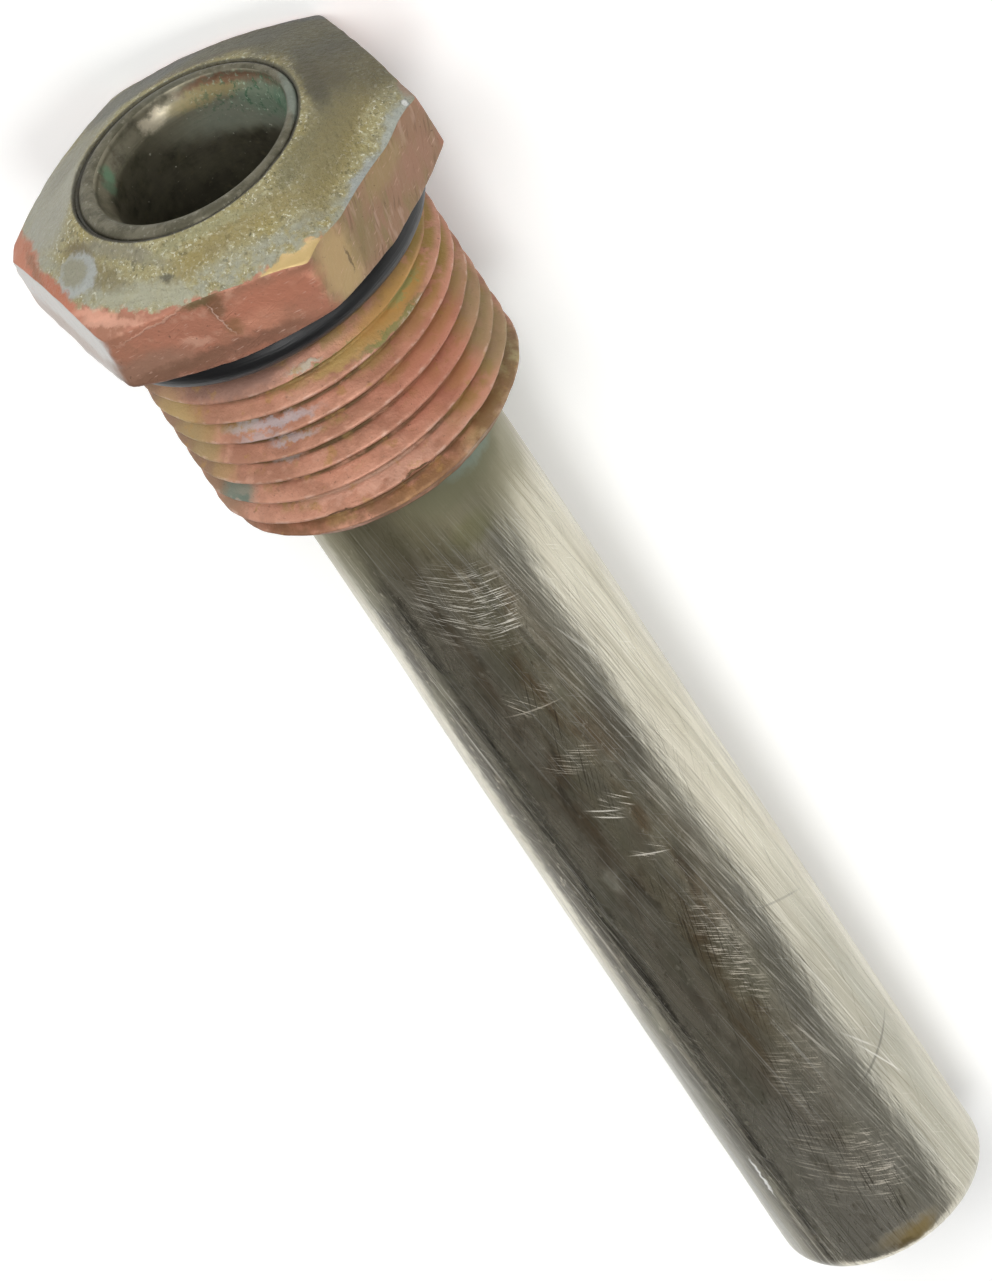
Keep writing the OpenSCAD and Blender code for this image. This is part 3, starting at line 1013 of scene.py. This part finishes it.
@dataclass
class BoreScale(Finish):
    """Dark olive scale inside the tube, paler towards the mouth as painted light, with verdigris and
    ochre and a painted glint under the mouth.

    Mouth is the place of the tube's open end.
    """

    ground = Ground("bore_scale", Sheet.UNROLLED, "#625f4d", 0.5, 0.7, 180.0)

    mouth: float

    def dress(self) -> None:
        """Lays scale, paler near the mouth as painted light, then the stains, a painted glint and
        green crusts under the mouth.
        """
        mouth = self.mouth
        self.coat("#48453a", self.mottle(1.6, 0.4, 0.6, 0.8), 0.55)
        # Paler towards the mouth: painted light falling into the bore.
        near = self.mask(self.along, mouth + 9.0, mouth + 0.5)
        self.coat("#928c78", self.mottle(1.2, 0.3, 0.6, 0.7, 6.0, within=near), 0.42, 0.7)
        self.coat("#7a745c", self.mottle(0.5, 0.58, 0.72, 0.6, 3.0))
        self.patches([
            # Painted glint: the cream patch at 150 degrees.
            Patch(150.0, mouth + 1.0, 0.9, 0.45, "#efe3c8", 0.9, 0.8, 0.3, 0.9),
            Patch(166.0, mouth + 1.9, 2.4, 1.0, "#8e8a76", 0.7, 0.9, 0.5, 0.4),
            Patch(-176.0, mouth + 1.1, 2.4, 0.5, "#988a5e", 0.8, 0.8, 0.55, 0.3),
            Patch(-156.0, mouth + 0.5, 3.0, 0.3, "#855c45", 0.65, 0.8),
            Patch(-150.0, mouth + 2.8, 4.6, 1.3, "#7f8576", 0.75, 0.9, 0.8, 0.0),
            Patch(-134.0, mouth + 1.8, 2.4, 1.2, "#71836f", 0.75, 0.8, 0.8, 0.0),
            Patch(-112.0, mouth + 1.2, 1.4, 0.9, "#54705a", 0.8, 0.8, 0.8, 0.0),
            Patch(104.0, mouth + 0.9, 0.5, 0.5, "#6a8f70", 0.8, 0.9, 0.8, 0.0),
            Patch(96.0, mouth + 1.2, 0.4, 0.5, "#5f7b60", 0.7, 0.9, 0.8, 0.0),
        ])
        green = self.spot(Patch(-132.0, mouth + 1.6, 5.0, 1.6, strength=1.0, soft=0.8))
        self.coat("#3f6248", self.mottle(0.34, 0.54, 0.64, 0.8, within=green), 0.8, 0.0)
        self.coat("#a3b8a0", self.mottle(0.26, 0.58, 0.68, 0.7, 9.0, within=green), 0.8, 0.0)
        self.coat("#c9c7b6", self.mottle(0.3, 0.66, 0.74, 0.8, 21.0), 0.7, 0.0)
        self.raised(self.strokes(0.15, 9.0, 0.0, 0.45, 0.6), 0.003)


@dataclass
class MouthRim(Finish):
    """Bare metal of the tube's flared and rounded end, dulled grey-brown."""

    ground = Ground("mouth_rim", Sheet.FACE_ON, "#6c6858", 0.45, 0.75)

    def dress(self) -> None:
        """Lays dull and pale lumps, then two stains on the rim."""
        self.coat("#545142", self.mottle(1.2, 0.42, 0.6, 0.8), 0.55)
        self.coat("#8d8a7c", self.mottle(0.3, 0.58, 0.7, 0.6, 6.0), 0.4)
        self.patches([
            Patch(-100.0, self.girth - 0.4, 3.0, 0.6, "#7e8a80", 0.6, 0.8, 0.6, 0.2),
            Patch(165.0, self.girth - 0.4, 3.4, 0.6, "#6b6a5e", 0.6, 0.8, 0.5),
        ])
        self.raised(self.mottle(0.3, 0.3, 0.7), 0.02)


@dataclass
class RingRubber(Finish):
    """Nitrile rubber of an O-ring: black, slightly shiny where it is clean, greyed by dust."""

    ground = Ground("ring_rubber", Sheet.UNROLLED, "#08080a", 0.42, 0.0)

    def dress(self) -> None:
        """Lays dust and the fine lines of the mould."""
        self.coat("#1c1a19", self.mottle(0.8, 0.55, 0.75, 0.5), 0.6)
        self.raised(self.strokes(0.2, 3.0, 0.0, 0.4, 0.6), 0.006)


@dataclass
class SoftSolder(Finish):
    """Soft solder, run in molten: dull grey-blue, lumpy and grimy, and darker towards the mouth as
    painted shade in the gap.
    """

    ground = Ground("soft_solder", Sheet.UNROLLED, "#7d8182", 0.5, 0.5)

    def dress(self) -> None:
        """Lays grime and bright lumps, then painted shade towards the mouth, in the depth of the gap.
        """
        self.coat("#6f6a52", self.mottle(2.0, 0.4, 0.6, 0.9), 0.65, 0.2)
        self.coat("#93989a", self.mottle(0.6, 0.56, 0.7, 0.6, 5.0), 0.45, 0.6)
        # Darker towards the mouth: painted shade in the gap round the tube.
        self.coat("#3f3b2f", self.mask(self.along, 0.0, -5.0, 0.9), 0.7, 0.1)
        self.raised(self.mottle(0.4, 0.3, 0.7), 0.05)


# ---------------------------------------------------------------------------------------------
# The pieces


@dataclass
class HexBushing:
    """The hexagonal bushing: crowned head, neck for the O-ring and worn helical thread.

    The head starts as a turned blank as wide as the flats, whose rows are then drawn out to the
    hexagon. The thread is a screwed strip, cut to length and topped by the two end chamfers.
    """

    reach: Reach
    thread_r: float
    crown_slope: float = 24.5
    under_slope: float = 24.5
    seat_inset: float = 0.16
    mouth_r: float = 7.05
    bore_r: float = 6.45
    mouth_land: float = 0.2
    mouth_l: float = 0.3
    flare_l: float = 1.6
    neck_r: float = 8.16
    neck_l: float = 2.4
    pitch: float = 1.5875
    crest_place: float = 0.235
    crest_angle: float = 51.8
    steps: int = 288
    thread_steps: int = 216
    lean: Lean = Lean(most=0.32)
    lean_fade: float = 1.5
    lumps: Lumps = ((2.5, 0.05), (0.8, 0.03), (0.35, 0.015))
    blunt_angle: float = 15.0
    blunt_rounds: int = 2
    crown_drop: dict[float, float] = field(default_factory=lambda: {-60.0: 0.75, 0.0: 0.3})
    nicks: tuple[Nick, ...] = (
        Nick(-27.5, 9.5, 13.1, 0.45, 0.16),
        Nick(-24.0, 9.5, 13.15, 0.5, 0.2),
        Nick(3.5, 9.5, 13.25, 0.45, 0.15),
        Nick(7.0, 9.5, 13.3, 0.5, 0.2),
        Nick(30.0, 12.8, -4.2, 0.9, 0.2),
        Nick(-30.0, 12.8, -4.0, 0.8, 0.2),
        Nick(90.0, 12.8, -4.2, 1.0, 0.25),
        Nick(-10.0, 11.1, -2.4, 0.7, 0.06),
        Nick(6.0, 11.1, -2.2, 0.6, 0.05),
    )

    def __post_init__(self) -> None:
        """Works out the sizes that follow from the frame."""
        self.flat_r = self.reach.outer * math.cos(math.radians(30.0))
        self.seat_r = self.flat_r - self.seat_inset
        self.crown_r = self.mouth_r + self.mouth_land
        self.crown_place = self.reach.low
        self.shank_end = self.reach.high
        self.root_r = self.thread_r - THREAD_DEPTH * self.pitch
        self.neck_seam = 0.45 * self.neck_l
        self.crest_start = self.crest_place + self.pitch * self.crest_angle / 360.0

    def crown_at(self, radius: float) -> float:
        """Place of the crown's cone at a radius."""
        return self.crown_place + (radius - self.crown_r) * math.tan(math.radians(self.crown_slope))

    def under_at(self, radius: float) -> float:
        """Place of the chamfer under the head at a radius."""
        return -(radius - self.seat_r) * math.tan(math.radians(self.under_slope))

    def build(self, frame: WellFrame) -> bpy.types.Object:
        """Builds and dresses the bushing.

        Args:
            frame: The well's axis frame.

        Returns:
            The bushing.
        """
        mesh = bmesh.new()
        self.head(mesh)
        self.draw_out(mesh)
        for vert in mesh.verts:
            radius, _ = polar(vert.co)
            share = blend(self.crown_r + self.lean_fade, self.crown_r, radius)
            vert.co = self.lean.push(vert.co, self.crown_place, share)
        thread = self.thread()
        data = bpy.data.meshes.new("thread_strip")
        thread.to_mesh(data)
        thread.free()
        mesh.from_mesh(data)
        bpy.data.meshes.remove(data)
        self.join(mesh)
        bmesh.ops.recalc_face_normals(mesh, faces=mesh.faces)
        self.name_finishes(mesh)
        self.soften(mesh)
        wear(mesh, self.lumps, self.nicks)
        finishes = [
            CrownPatina(frame, self.flat_r, self.mouth_r, self.lean.whole).build(),
            HexagonCopper(frame, self.reach.outer).build(),
            ThreadCopper(frame, self.thread_r, self.root_r, self.shank_end).build(),
        ]
        return finish_piece(mesh, "bushing", frame, finishes, "hex_bushing")

    def head(self, mesh: bmesh.types.BMesh) -> None:
        """Spins the blank of the head, from a seam in the bore round to a seam on the neck.

        Args:
            mesh: The mesh that takes it.
        """
        rim = (self.flat_r, self.crown_at(self.flat_r))
        foot = (self.flat_r, self.under_at(self.flat_r))
        flare_end = (self.bore_r, self.crown_place + self.flare_l)
        flare_start = (self.mouth_r, self.crown_place + self.mouth_l)
        outline = spread((self.bore_r, 0.0), flare_end, 3)
        outline += spread(flare_end, flare_start, 4)
        outline += [flare_start, (self.mouth_r, self.crown_place)]
        outline += spread((self.crown_r, self.crown_place), rim, 26)
        outline += spread(rim, foot, 26)
        outline += spread(foot, (self.seat_r, 0.0), 3)
        outline += spread((self.seat_r, 0.0), (self.neck_r, 0.0), 8)
        outline += [(self.neck_r, 0.0), (self.neck_r, self.neck_seam)]
        revolve(mesh, outline, self.steps, closed=False)

    def draw_out(self, mesh: bmesh.types.BMesh) -> None:
        """Draws the round blank out to the hexagon, row by row.

        Args:
            mesh: The mesh with the blank.
        """
        rim_place = self.crown_at(self.flat_r)
        foot_place = self.under_at(self.flat_r)
        for vert in mesh.verts:
            radius, angle = polar(vert.co)
            reach = self.flat_r / math.cos(math.radians(angle_gap((angle + 30.0) % 60.0, 30.0)))
            top, bottom = self.crown_at(reach), self.under_at(reach)
            if vert.co.z <= rim_place + TOUCHING:
                share = (radius - self.crown_r) / (self.flat_r - self.crown_r)
                if share <= 0.0:
                    continue
                new_radius = self.crown_r + share * (reach - self.crown_r)
                set_polar(vert, new_radius, self.crown_at(new_radius) + self.drop(angle, share))
            elif radius > self.flat_r - TOUCHING:
                share = (vert.co.z - rim_place) / (foot_place - rim_place)
                top += self.drop(angle, 1.0)
                set_polar(vert, reach, top + share * (bottom - top))
            elif radius > self.seat_r:
                share = (radius - self.seat_r) / (self.flat_r - self.seat_r)
                new_radius = self.seat_r + share * (reach - self.seat_r)
                set_polar(vert, new_radius, self.under_at(new_radius))

    def drop(self, angle: float, share: float) -> float:
        """How far the crown is beaten down at an angle, for a share of the way to its rim."""
        depth = sum(drop * blend(27.0, 12.0, angle_gap(angle, middle))
                    for middle, drop in self.crown_drop.items())
        return depth * blend(0.45, 1.0, share)

    def thread(self) -> bmesh.types.BMesh:
        """Screws one thread outline along the shank and cuts it to length.

        The edges of its crests are worn down and eased in, and its roots filled up at their sides,
        by a few hundredths of a millimetre.

        Returns:
            The thread's surface, open at its two ends.
        """
        flank = (self.thread_r - self.root_r) * math.tan(math.radians(30.0))
        crest = self.pitch / 8.0
        root = self.pitch - crest - 2.0 * flank
        turns = math.ceil((self.shank_end - self.neck_l) / self.pitch) + 3
        first = self.crest_start - self.pitch * 2.0 - crest / 2.0
        worn, eased, filled, inset = 0.05, 0.06, 0.08, 0.03
        outline: Outline = []
        for turn in range(turns + 2):
            place = first + turn * self.pitch
            crest_end = place + crest
            root_start = crest_end + flank
            root_end = root_start + root
            outline += [(self.thread_r - worn, place), (self.thread_r, place + eased),
                        (self.thread_r, crest_end - eased), (self.thread_r - worn, crest_end)]
            outline += spread((self.thread_r - 2.0 * worn, crest_end + inset),
                              (self.root_r + filled, root_start), 5)
            outline += [(self.root_r + inset, root_start + inset),
                        (self.root_r, root_start + root / 2.0),
                        (self.root_r + inset, root_end - inset)]
            outline += spread((self.root_r + filled, root_end),
                              (self.thread_r - worn, place + self.pitch), 6)
        mesh = bmesh.new()
        verts = [mesh.verts.new((radius, 0.0, place)) for radius, place in outline]
        edges = [mesh.edges.new(pair) for pair in zip(verts, verts[1:])]
        bmesh.ops.spin(mesh, geom=verts + edges, cent=(0.0, 0.0, 0.0), axis=(0.0, 0.0, 1.0),
                       dvec=(0.0, 0.0, self.pitch / self.thread_steps), angle=math.tau,
                       steps=self.thread_steps, use_merge=False)
        bmesh.ops.remove_doubles(mesh, verts=mesh.verts, dist=WELDED)
        for vert in mesh.verts:
            radius, _ = polar(vert.co)
            start_limit = self.neck_r + (vert.co.z - self.neck_l)
            end_limit = self.root_r + (self.shank_end - vert.co.z)
            limit = max(self.neck_r - 0.5, min(start_limit, end_limit))
            if radius > limit:
                set_polar(vert, limit, vert.co.z)
        for place, direction in ((self.neck_l, -1.0), (self.shank_end, 1.0)):
            bmesh.ops.bisect_plane(mesh, geom=mesh.verts[:] + mesh.edges[:] + mesh.faces[:],
                                   dist=TOUCHING, plane_co=(0.0, 0.0, place),
                                   plane_no=(0.0, 0.0, direction), clear_outer=True)
        return mesh

    def join(self, mesh: bmesh.types.BMesh) -> None:
        """Closes the bushing: end face, bore and neck, bridged to the head's two seams.

        Args:
            mesh: The mesh with the head and the thread.
        """
        end_loop = self.open_loop(mesh, self.shank_end)
        face = bmesh.ops.extrude_edge_only(mesh, edges=end_loop)
        new_verts = [item for item in face["geom"] if isinstance(item, bmesh.types.BMVert)]
        for vert in new_verts:
            set_polar(vert, self.bore_r, self.shank_end)
        for place in (self.neck_l, self.shank_end):
            other = self.neck_seam if place == self.neck_l else 0.0
            loops = self.open_loop(mesh, place) + self.open_loop(mesh, other)
            bmesh.ops.bridge_loops(mesh, edges=loops)

    @staticmethod
    def open_loop(mesh: bmesh.types.BMesh, place: float) -> list[bmesh.types.BMEdge]:
        """Boundary edges that lie at a place along the axis."""
        return [edge for edge in mesh.edges if edge.is_boundary
                and all(abs(vert.co.z - place) < 2.0 * WELDED for vert in edge.verts)]

    def name_finishes(self, mesh: bmesh.types.BMesh) -> None:
        """Gives each face the index of its finish: crown with the top of the bore, flats or thread.

        Args:
            mesh: The bushing's mesh.
        """
        crown_end, land_end, seat = self.crown_place + 4.0, self.crown_r + 0.4, 0.05
        for face in mesh.faces:
            middle = face.calc_center_median()
            radius, _ = polar(middle)
            if middle.z < crown_end and (face.normal.z < -0.5 or radius < land_end):
                face.material_index = CROWN
            elif middle.z < 0.0 or (middle.z < seat and radius > self.neck_r):
                face.material_index = FLATS
            else:
                face.material_index = THREAD

    def soften(self, mesh: bmesh.types.BMesh) -> None:
        """Wears the hexagon's edges round.

        Args:
            mesh: The bushing's mesh.
        """
        sharp = {vert for edge in mesh.edges if edge.is_manifold
                 and edge.verts[0].co.z < -0.1 and polar(edge.verts[0].co)[0] > self.crown_r + 1.0
                 and edge.calc_face_angle(0.0) > math.radians(self.blunt_angle) for vert in edge.verts}
        ring = {other for vert in sharp for edge in vert.link_edges for other in edge.verts}
        for _ in range(self.blunt_rounds):
            bmesh.ops.smooth_vert(mesh, verts=list(ring), factor=0.5, use_axis_x=True,
                                  use_axis_y=True, use_axis_z=True)


@dataclass
class WellTube:
    """The drawn tube: closed, slightly uneven along its length, and flared at its mouth."""

    reach: Reach
    bore_r: float
    wall: float = 0.9
    tip_r: float = 1.4
    mouth_r: float = 6.95
    flare_l: float = 1.7
    lip_r: float = 0.4
    inner_tip_r: float = 0.5
    lean: Lean = Lean()
    lumps: Lumps = ((14.0, 0.06), (4.0, 0.02))
    steps: int = 192
    rows: int = 110

    def __post_init__(self) -> None:
        """Works out the sizes that follow from the frame."""
        self.outer_r = self.bore_r + self.wall
        self.mouth = self.reach.low
        self.tip = self.reach.high

    def flare_at(self, place: float) -> float:
        """Outside radius of the tube at a place along the flare."""
        share = min(1.0, max(0.0, (place - self.mouth) / self.flare_l))
        return self.outer_r + (self.mouth_r - self.outer_r) * (1.0 + math.cos(math.pi * share)) / 2.0

    def build(self, frame: WellFrame) -> bpy.types.Object:
        """Builds and dresses the tube.

        Args:
            frame: The well's axis frame.

        Returns:
            The tube.
        """
        mesh = bmesh.new()
        revolve(mesh, self.outline(), self.steps, closed=False)
        bmesh.ops.remove_doubles(mesh, verts=mesh.verts, dist=TOUCHING)
        bmesh.ops.recalc_face_normals(mesh, faces=mesh.faces)
        for face in mesh.faces:
            middle = face.calc_center_median()
            radius, _ = polar(middle)
            if middle.z < self.mouth + 1.2 * self.lip_r and radius > self.mouth_r - self.wall:
                face.material_index = RIM
            elif radius < self.bore_r + 0.3 * self.wall and middle.z < self.tip - self.wall / 2.0:
                face.material_index = BORE
            elif middle.z < self.mouth + self.flare_l and face.normal.z < -0.1:
                face.material_index = BORE
            elif radius < self.outer_r - 0.7 * self.tip_r and face.normal.z > 0.5:
                face.material_index = END
            else:
                face.material_index = OUTSIDE
        for vert in mesh.verts:
            radius, _ = polar(vert.co)
            share = (radius - self.flare_at(vert.co.z)) / self.wall + 1.0
            vert.co = self.lean.push(vert.co, self.mouth, max(0.0, share))
        wear(mesh, self.lumps)
        finishes = [
            TarnishedTube(frame, self.outer_r, self.tip).build(),
            MouthRim(frame, self.mouth_r).build(),
            BoreScale(frame, self.bore_r, self.mouth).build(),
            SpunEnd(frame, self.outer_r).build(),
        ]
        return finish_piece(mesh, "tube", frame, finishes, "well_tube")

    def outline(self) -> Outline:
        """Section of the tube from the middle of the tip, round the mouth, to the end of the bore.

        Returns:
            The section's points.
        """
        lip = self.mouth + self.lip_r
        lip_outer = self.flare_at(lip)
        flare = [self.mouth + self.flare_l * i / 10.0 for i in range(3, 11)]
        bottom = self.tip - self.wall
        points = spread((0.0, self.tip), (self.outer_r - self.tip_r, self.tip), 8)
        points += rounded((self.outer_r - self.tip_r, self.tip - self.tip_r), self.tip_r,
                          90.0, 0.0, 8)
        points += spread((self.outer_r, self.tip - self.tip_r - 0.4),
                         (self.outer_r, flare[-1] + 0.4), self.rows)
        points += [(self.flare_at(place), place) for place in reversed(flare)]
        points += rounded((lip_outer - self.lip_r, lip), self.lip_r, 0.0, -90.0, 4)
        points += rounded((lip_outer - self.wall + self.lip_r, lip), self.lip_r, 270.0, 180.0, 4)
        points += [(self.flare_at(place) - self.wall, place) for place in flare]
        corner = (self.bore_r - self.inner_tip_r, bottom - self.inner_tip_r)
        points += spread((self.bore_r, flare[-1] + 0.7), (self.bore_r, corner[1]), 28)
        points += rounded(corner, self.inner_tip_r, 0.0, 90.0, 4)
        points += [(self.bore_r / 2.0, bottom), (0.0, bottom)]
        return points


@dataclass
class ORing:
    """The O-ring on the bushing's neck."""

    reach: Reach
    lumps: Lumps = ((3.0, 0.03), (0.7, 0.01))
    steps: int = 240
    sides: int = 28

    def build(self, frame: WellFrame) -> bpy.types.Object:
        """Builds and dresses the O-ring.

        Args:
            frame: The well's axis frame.

        Returns:
            The O-ring.
        """
        half = (self.reach.high - self.reach.low) / 2.0
        middle = self.reach.outer - half
        section = rounded((middle, (self.reach.high + self.reach.low) / 2.0), half, 0.0,
                          360.0 - 360.0 / self.sides, self.sides - 1)
        mesh = bmesh.new()
        revolve(mesh, section, self.steps, closed=True)
        bmesh.ops.recalc_face_normals(mesh, faces=mesh.faces)
        wear(mesh, self.lumps)
        finishes = [RingRubber(frame, self.reach.outer).build()]
        return finish_piece(mesh, "sealing_ring", frame, finishes, "o_ring")


@dataclass
class SolderJoint:
    """The solder round the tube: a film in the bore and an uneven fillet at the shank's end."""

    reach: Reach
    shank_end: float
    tube_r: float
    gap: float = 0.1
    mouth_r: float = 6.95
    mouth_l: float = 0.3
    flare_l: float = 1.6
    fill: float = 0.18
    tube_rise: float = 0.42
    lean: Lean = Lean(most=0.29)
    lump_size: float = 2.5
    lumpy: float = 0.5
    steps: int = 160

    def build(self, frame: WellFrame) -> bpy.types.Object:
        """Builds and dresses the solder.

        Args:
            frame: The well's axis frame.

        Returns:
            The solder.
        """
        mesh = bmesh.new()
        revolve(mesh, self.outline(), self.steps, closed=True)
        bmesh.ops.recalc_face_normals(mesh, faces=mesh.faces)
        for vert in mesh.verts:
            radius, _ = polar(vert.co)
            vert.co = self.lean.push(vert.co, self.reach.low - self.tube_rise, 1.0)
            if vert.co.z > self.shank_end + 0.02 and radius > self.tube_r + 0.02:
                swell = 1.0 + self.lumpy * noise.noise(vert.co / self.lump_size)
                set_polar(vert, self.tube_r + (radius - self.tube_r) * swell, vert.co.z)
        finishes = [SoftSolder(frame, self.tube_r).build()]
        return finish_piece(mesh, "solder", frame, finishes, "solder_joint")

    def outline(self) -> Outline:
        """Section of the film, from the tube's side round the fillet and back along the bore.

        Returns:
            The section's points.
        """
        low, high = self.reach.low, self.reach.high
        bore_r = self.tube_r + self.gap
        leg = high - self.shank_end
        points = [(self.tube_r, low + self.flare_l)]
        points += spread((self.tube_r, 0.0), (self.tube_r, high), 8)
        points += rounded((self.tube_r + leg, high), leg, 180.0, 270.0, 10)
        points += [(bore_r, self.shank_end), (bore_r, 0.0), (bore_r, low + self.flare_l),
                   (self.mouth_r + self.gap, low + self.mouth_l),
                   (self.mouth_r + self.gap, low - self.fill), (self.mouth_r, low - self.fill)]
        return points


# ---------------------------------------------------------------------------------------------
# The studio


@dataclass(frozen=True)
class Softbox:
    """A square studio light: where it stands as seen from the well, its size and its power."""

    name: str
    towards: tuple[float, float, float]
    distance: float
    size: float
    power: float

    def place(self, target: Vector) -> None:
        """Hangs the light, turned to the well.

        Args:
            target: The middle of the well.
        """
        lamp = bpy.data.lights.new(self.name, "AREA")
        lamp.shape = "SQUARE"
        lamp.size = self.size
        lamp.energy = self.power
        light = bpy.data.objects.new(self.name, lamp)
        bpy.context.scene.collection.objects.link(light)
        direction = Vector(self.towards).normalized()
        light.location = target + direction * self.distance
        light.rotation_euler = direction.to_track_quat("Z", "Y").to_euler()


@dataclass(frozen=True)
class Studio:
    """A white table under soft lights, white to its horizon, in a room with a dim ceiling."""

    floor_half: float = 6.0
    floor_colour: str = "#f4f4f2"
    floor_lift: float = 0.27
    far_lift: float = 0.85
    pool: float = 0.25
    ceiling: float = 0.152
    ceiling_from: float = 0.10
    lights: tuple[Softbox, ...] = (
        Softbox("key_light", (-0.62, 0.10, 0.78), 1.2, 0.6, 7.5),
        Softbox("top_light", (0.00, 0.10, 1.00), 1.4, 0.4, 5.0),
        Softbox("side_light", (-0.55, -0.70, 0.45), 1.3, 0.6, 3.0),
        Softbox("back_light", (0.20, 0.62, 0.80), 1.3, 0.5, 2.5),
        Softbox("low_card", (0.45, 0.85, 0.10), 1.2, 0.3, 0.2),
    )

    def build(self, low: Vector, high: Vector) -> None:
        """Builds the floor, the lights and the world.

        Args:
            low: The object's lowest corner.
            high: The object's highest corner.
        """
        self.floor(low.z)
        self.world()
        for light in self.lights:
            light.place((low + high) / 2.0)

    def floor(self, height: float) -> None:
        """Lays the white table top.

        Args:
            height: Its height in metres.
        """
        mesh = bmesh.new()
        bmesh.ops.create_grid(mesh, x_segments=1, y_segments=1, size=self.floor_half)
        bmesh.ops.translate(mesh, verts=mesh.verts, vec=(0.0, 0.0, height))
        data = bpy.data.meshes.new("table_top")
        mesh.to_mesh(data)
        mesh.free()
        table = bpy.data.objects.new("table_top", data)
        bpy.context.scene.collection.objects.link(table)
        table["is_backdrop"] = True
        material = bpy.data.materials.new("white_table")
        material.use_nodes = True
        tree = material.node_tree
        tree.nodes.clear()
        paper = add_node(tree, "ShaderNodeBsdfDiffuse", {"Color": linear(self.floor_colour)})
        seen = seen_directly(tree)
        coords = add_node(tree, "ShaderNodeTexCoord").outputs["Object"]
        away = add_node(tree, "ShaderNodeVectorMath", {0: coords}, operation="LENGTH")
        level = add_node(tree, "ShaderNodeMapRange", {
            0: away.outputs["Value"], 1: self.pool, 2: 3.0 * self.pool, 3: self.floor_lift,
            4: self.far_lift}, interpolation_type="SMOOTHSTEP")
        lift = add_node(tree, "ShaderNodeMath", {0: seen, 1: level.outputs[0]}, operation="MULTIPLY")
        glow = add_node(tree, "ShaderNodeEmission", {
            "Color": linear("#ffffff"), "Strength": lift.outputs[0]})
        both = add_node(tree, "ShaderNodeAddShader", {0: paper.outputs[0], 1: glow.outputs[0]})
        add_node(tree, "ShaderNodeOutputMaterial", {"Surface": both.outputs[0]})
        data.materials.append(material)

    def world(self) -> None:
        """Sets a room that is white at the horizon, and dim overhead to all but the camera."""
        world = bpy.data.worlds.new("room")
        bpy.context.scene.world = world
        world.use_nodes = True
        tree = world.node_tree
        tree.nodes.clear()
        coords = add_node(tree, "ShaderNodeTexCoord").outputs["Generated"]
        up = add_node(tree, "ShaderNodeSeparateXYZ", {0: coords}).outputs["Z"]
        low = add_node(tree, "ShaderNodeMath", {0: up, 1: self.ceiling_from}, operation="LESS_THAN")
        ray = add_node(tree, "ShaderNodeLightPath").outputs
        shown = add_node(tree, "ShaderNodeMath", {
            0: seen_directly(tree), 1: low.outputs[0]}, operation="MULTIPLY")
        white = add_node(tree, "ShaderNodeMath", {
            0: shown.outputs[0], 1: ray["Is Camera Ray"]}, operation="MAXIMUM")
        level = add_node(tree, "ShaderNodeMapRange", {0: white.outputs[0], 3: self.ceiling, 4: 1.0})
        room = add_node(tree, "ShaderNodeBackground", {
            "Color": linear("#ffffff"), "Strength": level.outputs[0]})
        add_node(tree, "ShaderNodeOutputWorld", {"Surface": room.outputs[0]})


def seen_directly(tree: bpy.types.NodeTree) -> Socket:
    """Tells what is seen directly, in metal or through glass from what only lights the scene.

    Args:
        tree: The node tree.

    Returns:
        A socket that is 1 on camera, glossy and transmission rays.
    """
    ray = add_node(tree, "ShaderNodeLightPath")
    metal = add_node(tree, "ShaderNodeMath", {
        0: ray.outputs["Is Camera Ray"], 1: ray.outputs["Is Glossy Ray"]}, operation="MAXIMUM")
    return add_node(tree, "ShaderNodeMath", {
        0: metal.outputs[0], 1: ray.outputs["Is Transmission Ray"]}, operation="MAXIMUM").outputs[0]


@dataclass(frozen=True)
class LongLensCamera:
    """A long lens that looks down on the mouth and along the tube."""

    place: tuple[float, float, float] = (-0.642449, 0.407164, 1.059412)
    right: tuple[float, float, float] = (0.458227, 0.887418, -0.050204)
    above: tuple[float, float, float] = (-0.727859, 0.342221, -0.594224)
    lens: float = 660.7
    sensor: float = 36.0

    def build(self) -> None:
        """Makes the camera and hands it to the scene."""
        data = bpy.data.cameras.new("long_lens")
        data.lens = self.lens
        data.sensor_width = self.sensor
        data.clip_start, data.clip_end = 0.05, 20.0
        camera = bpy.data.objects.new("long_lens", data)
        bpy.context.scene.collection.objects.link(camera)
        right, above = Vector(self.right), Vector(self.above)
        turn = Matrix((right, above, right.cross(above))).transposed().to_4x4()
        camera.matrix_world = Matrix.Translation(self.place) @ turn
        bpy.context.scene.camera = camera


# ---------------------------------------------------------------------------------------------


def main() -> None:
    """Builds the well round the CAD frame, with its studio."""
    logging.basicConfig(level=logging.INFO, format="%(name)s: %(message)s")
    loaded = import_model()
    cad_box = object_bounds()
    frame = WellFrame.from_record(loaded["record"])
    nodes = loaded["nodes"]
    sizes = {mount["name"]: mount["dims"] for mount in loaded["record"]["mounts"]}

    LongLensCamera().build()
    tube = WellTube(frame.reach(nodes["well_tube"]), sizes["probe_bore"]["r_mm"])
    bushing = HexBushing(frame.reach(nodes["hex_bushing"]), sizes["thread"]["r_mm"])
    bushing.build(frame)
    tube.build(frame)
    ORing(frame.reach(nodes["o_ring"])).build(frame)
    SolderJoint(frame.reach(nodes["solder_joint"]), bushing.shank_end, tube.outer_r).build(frame)
    Studio().build(*cad_box)

    bpy.context.scene.view_settings.view_transform = "Standard"
    bpy.context.view_layer.update()


if __name__ == "__main__":
    main()
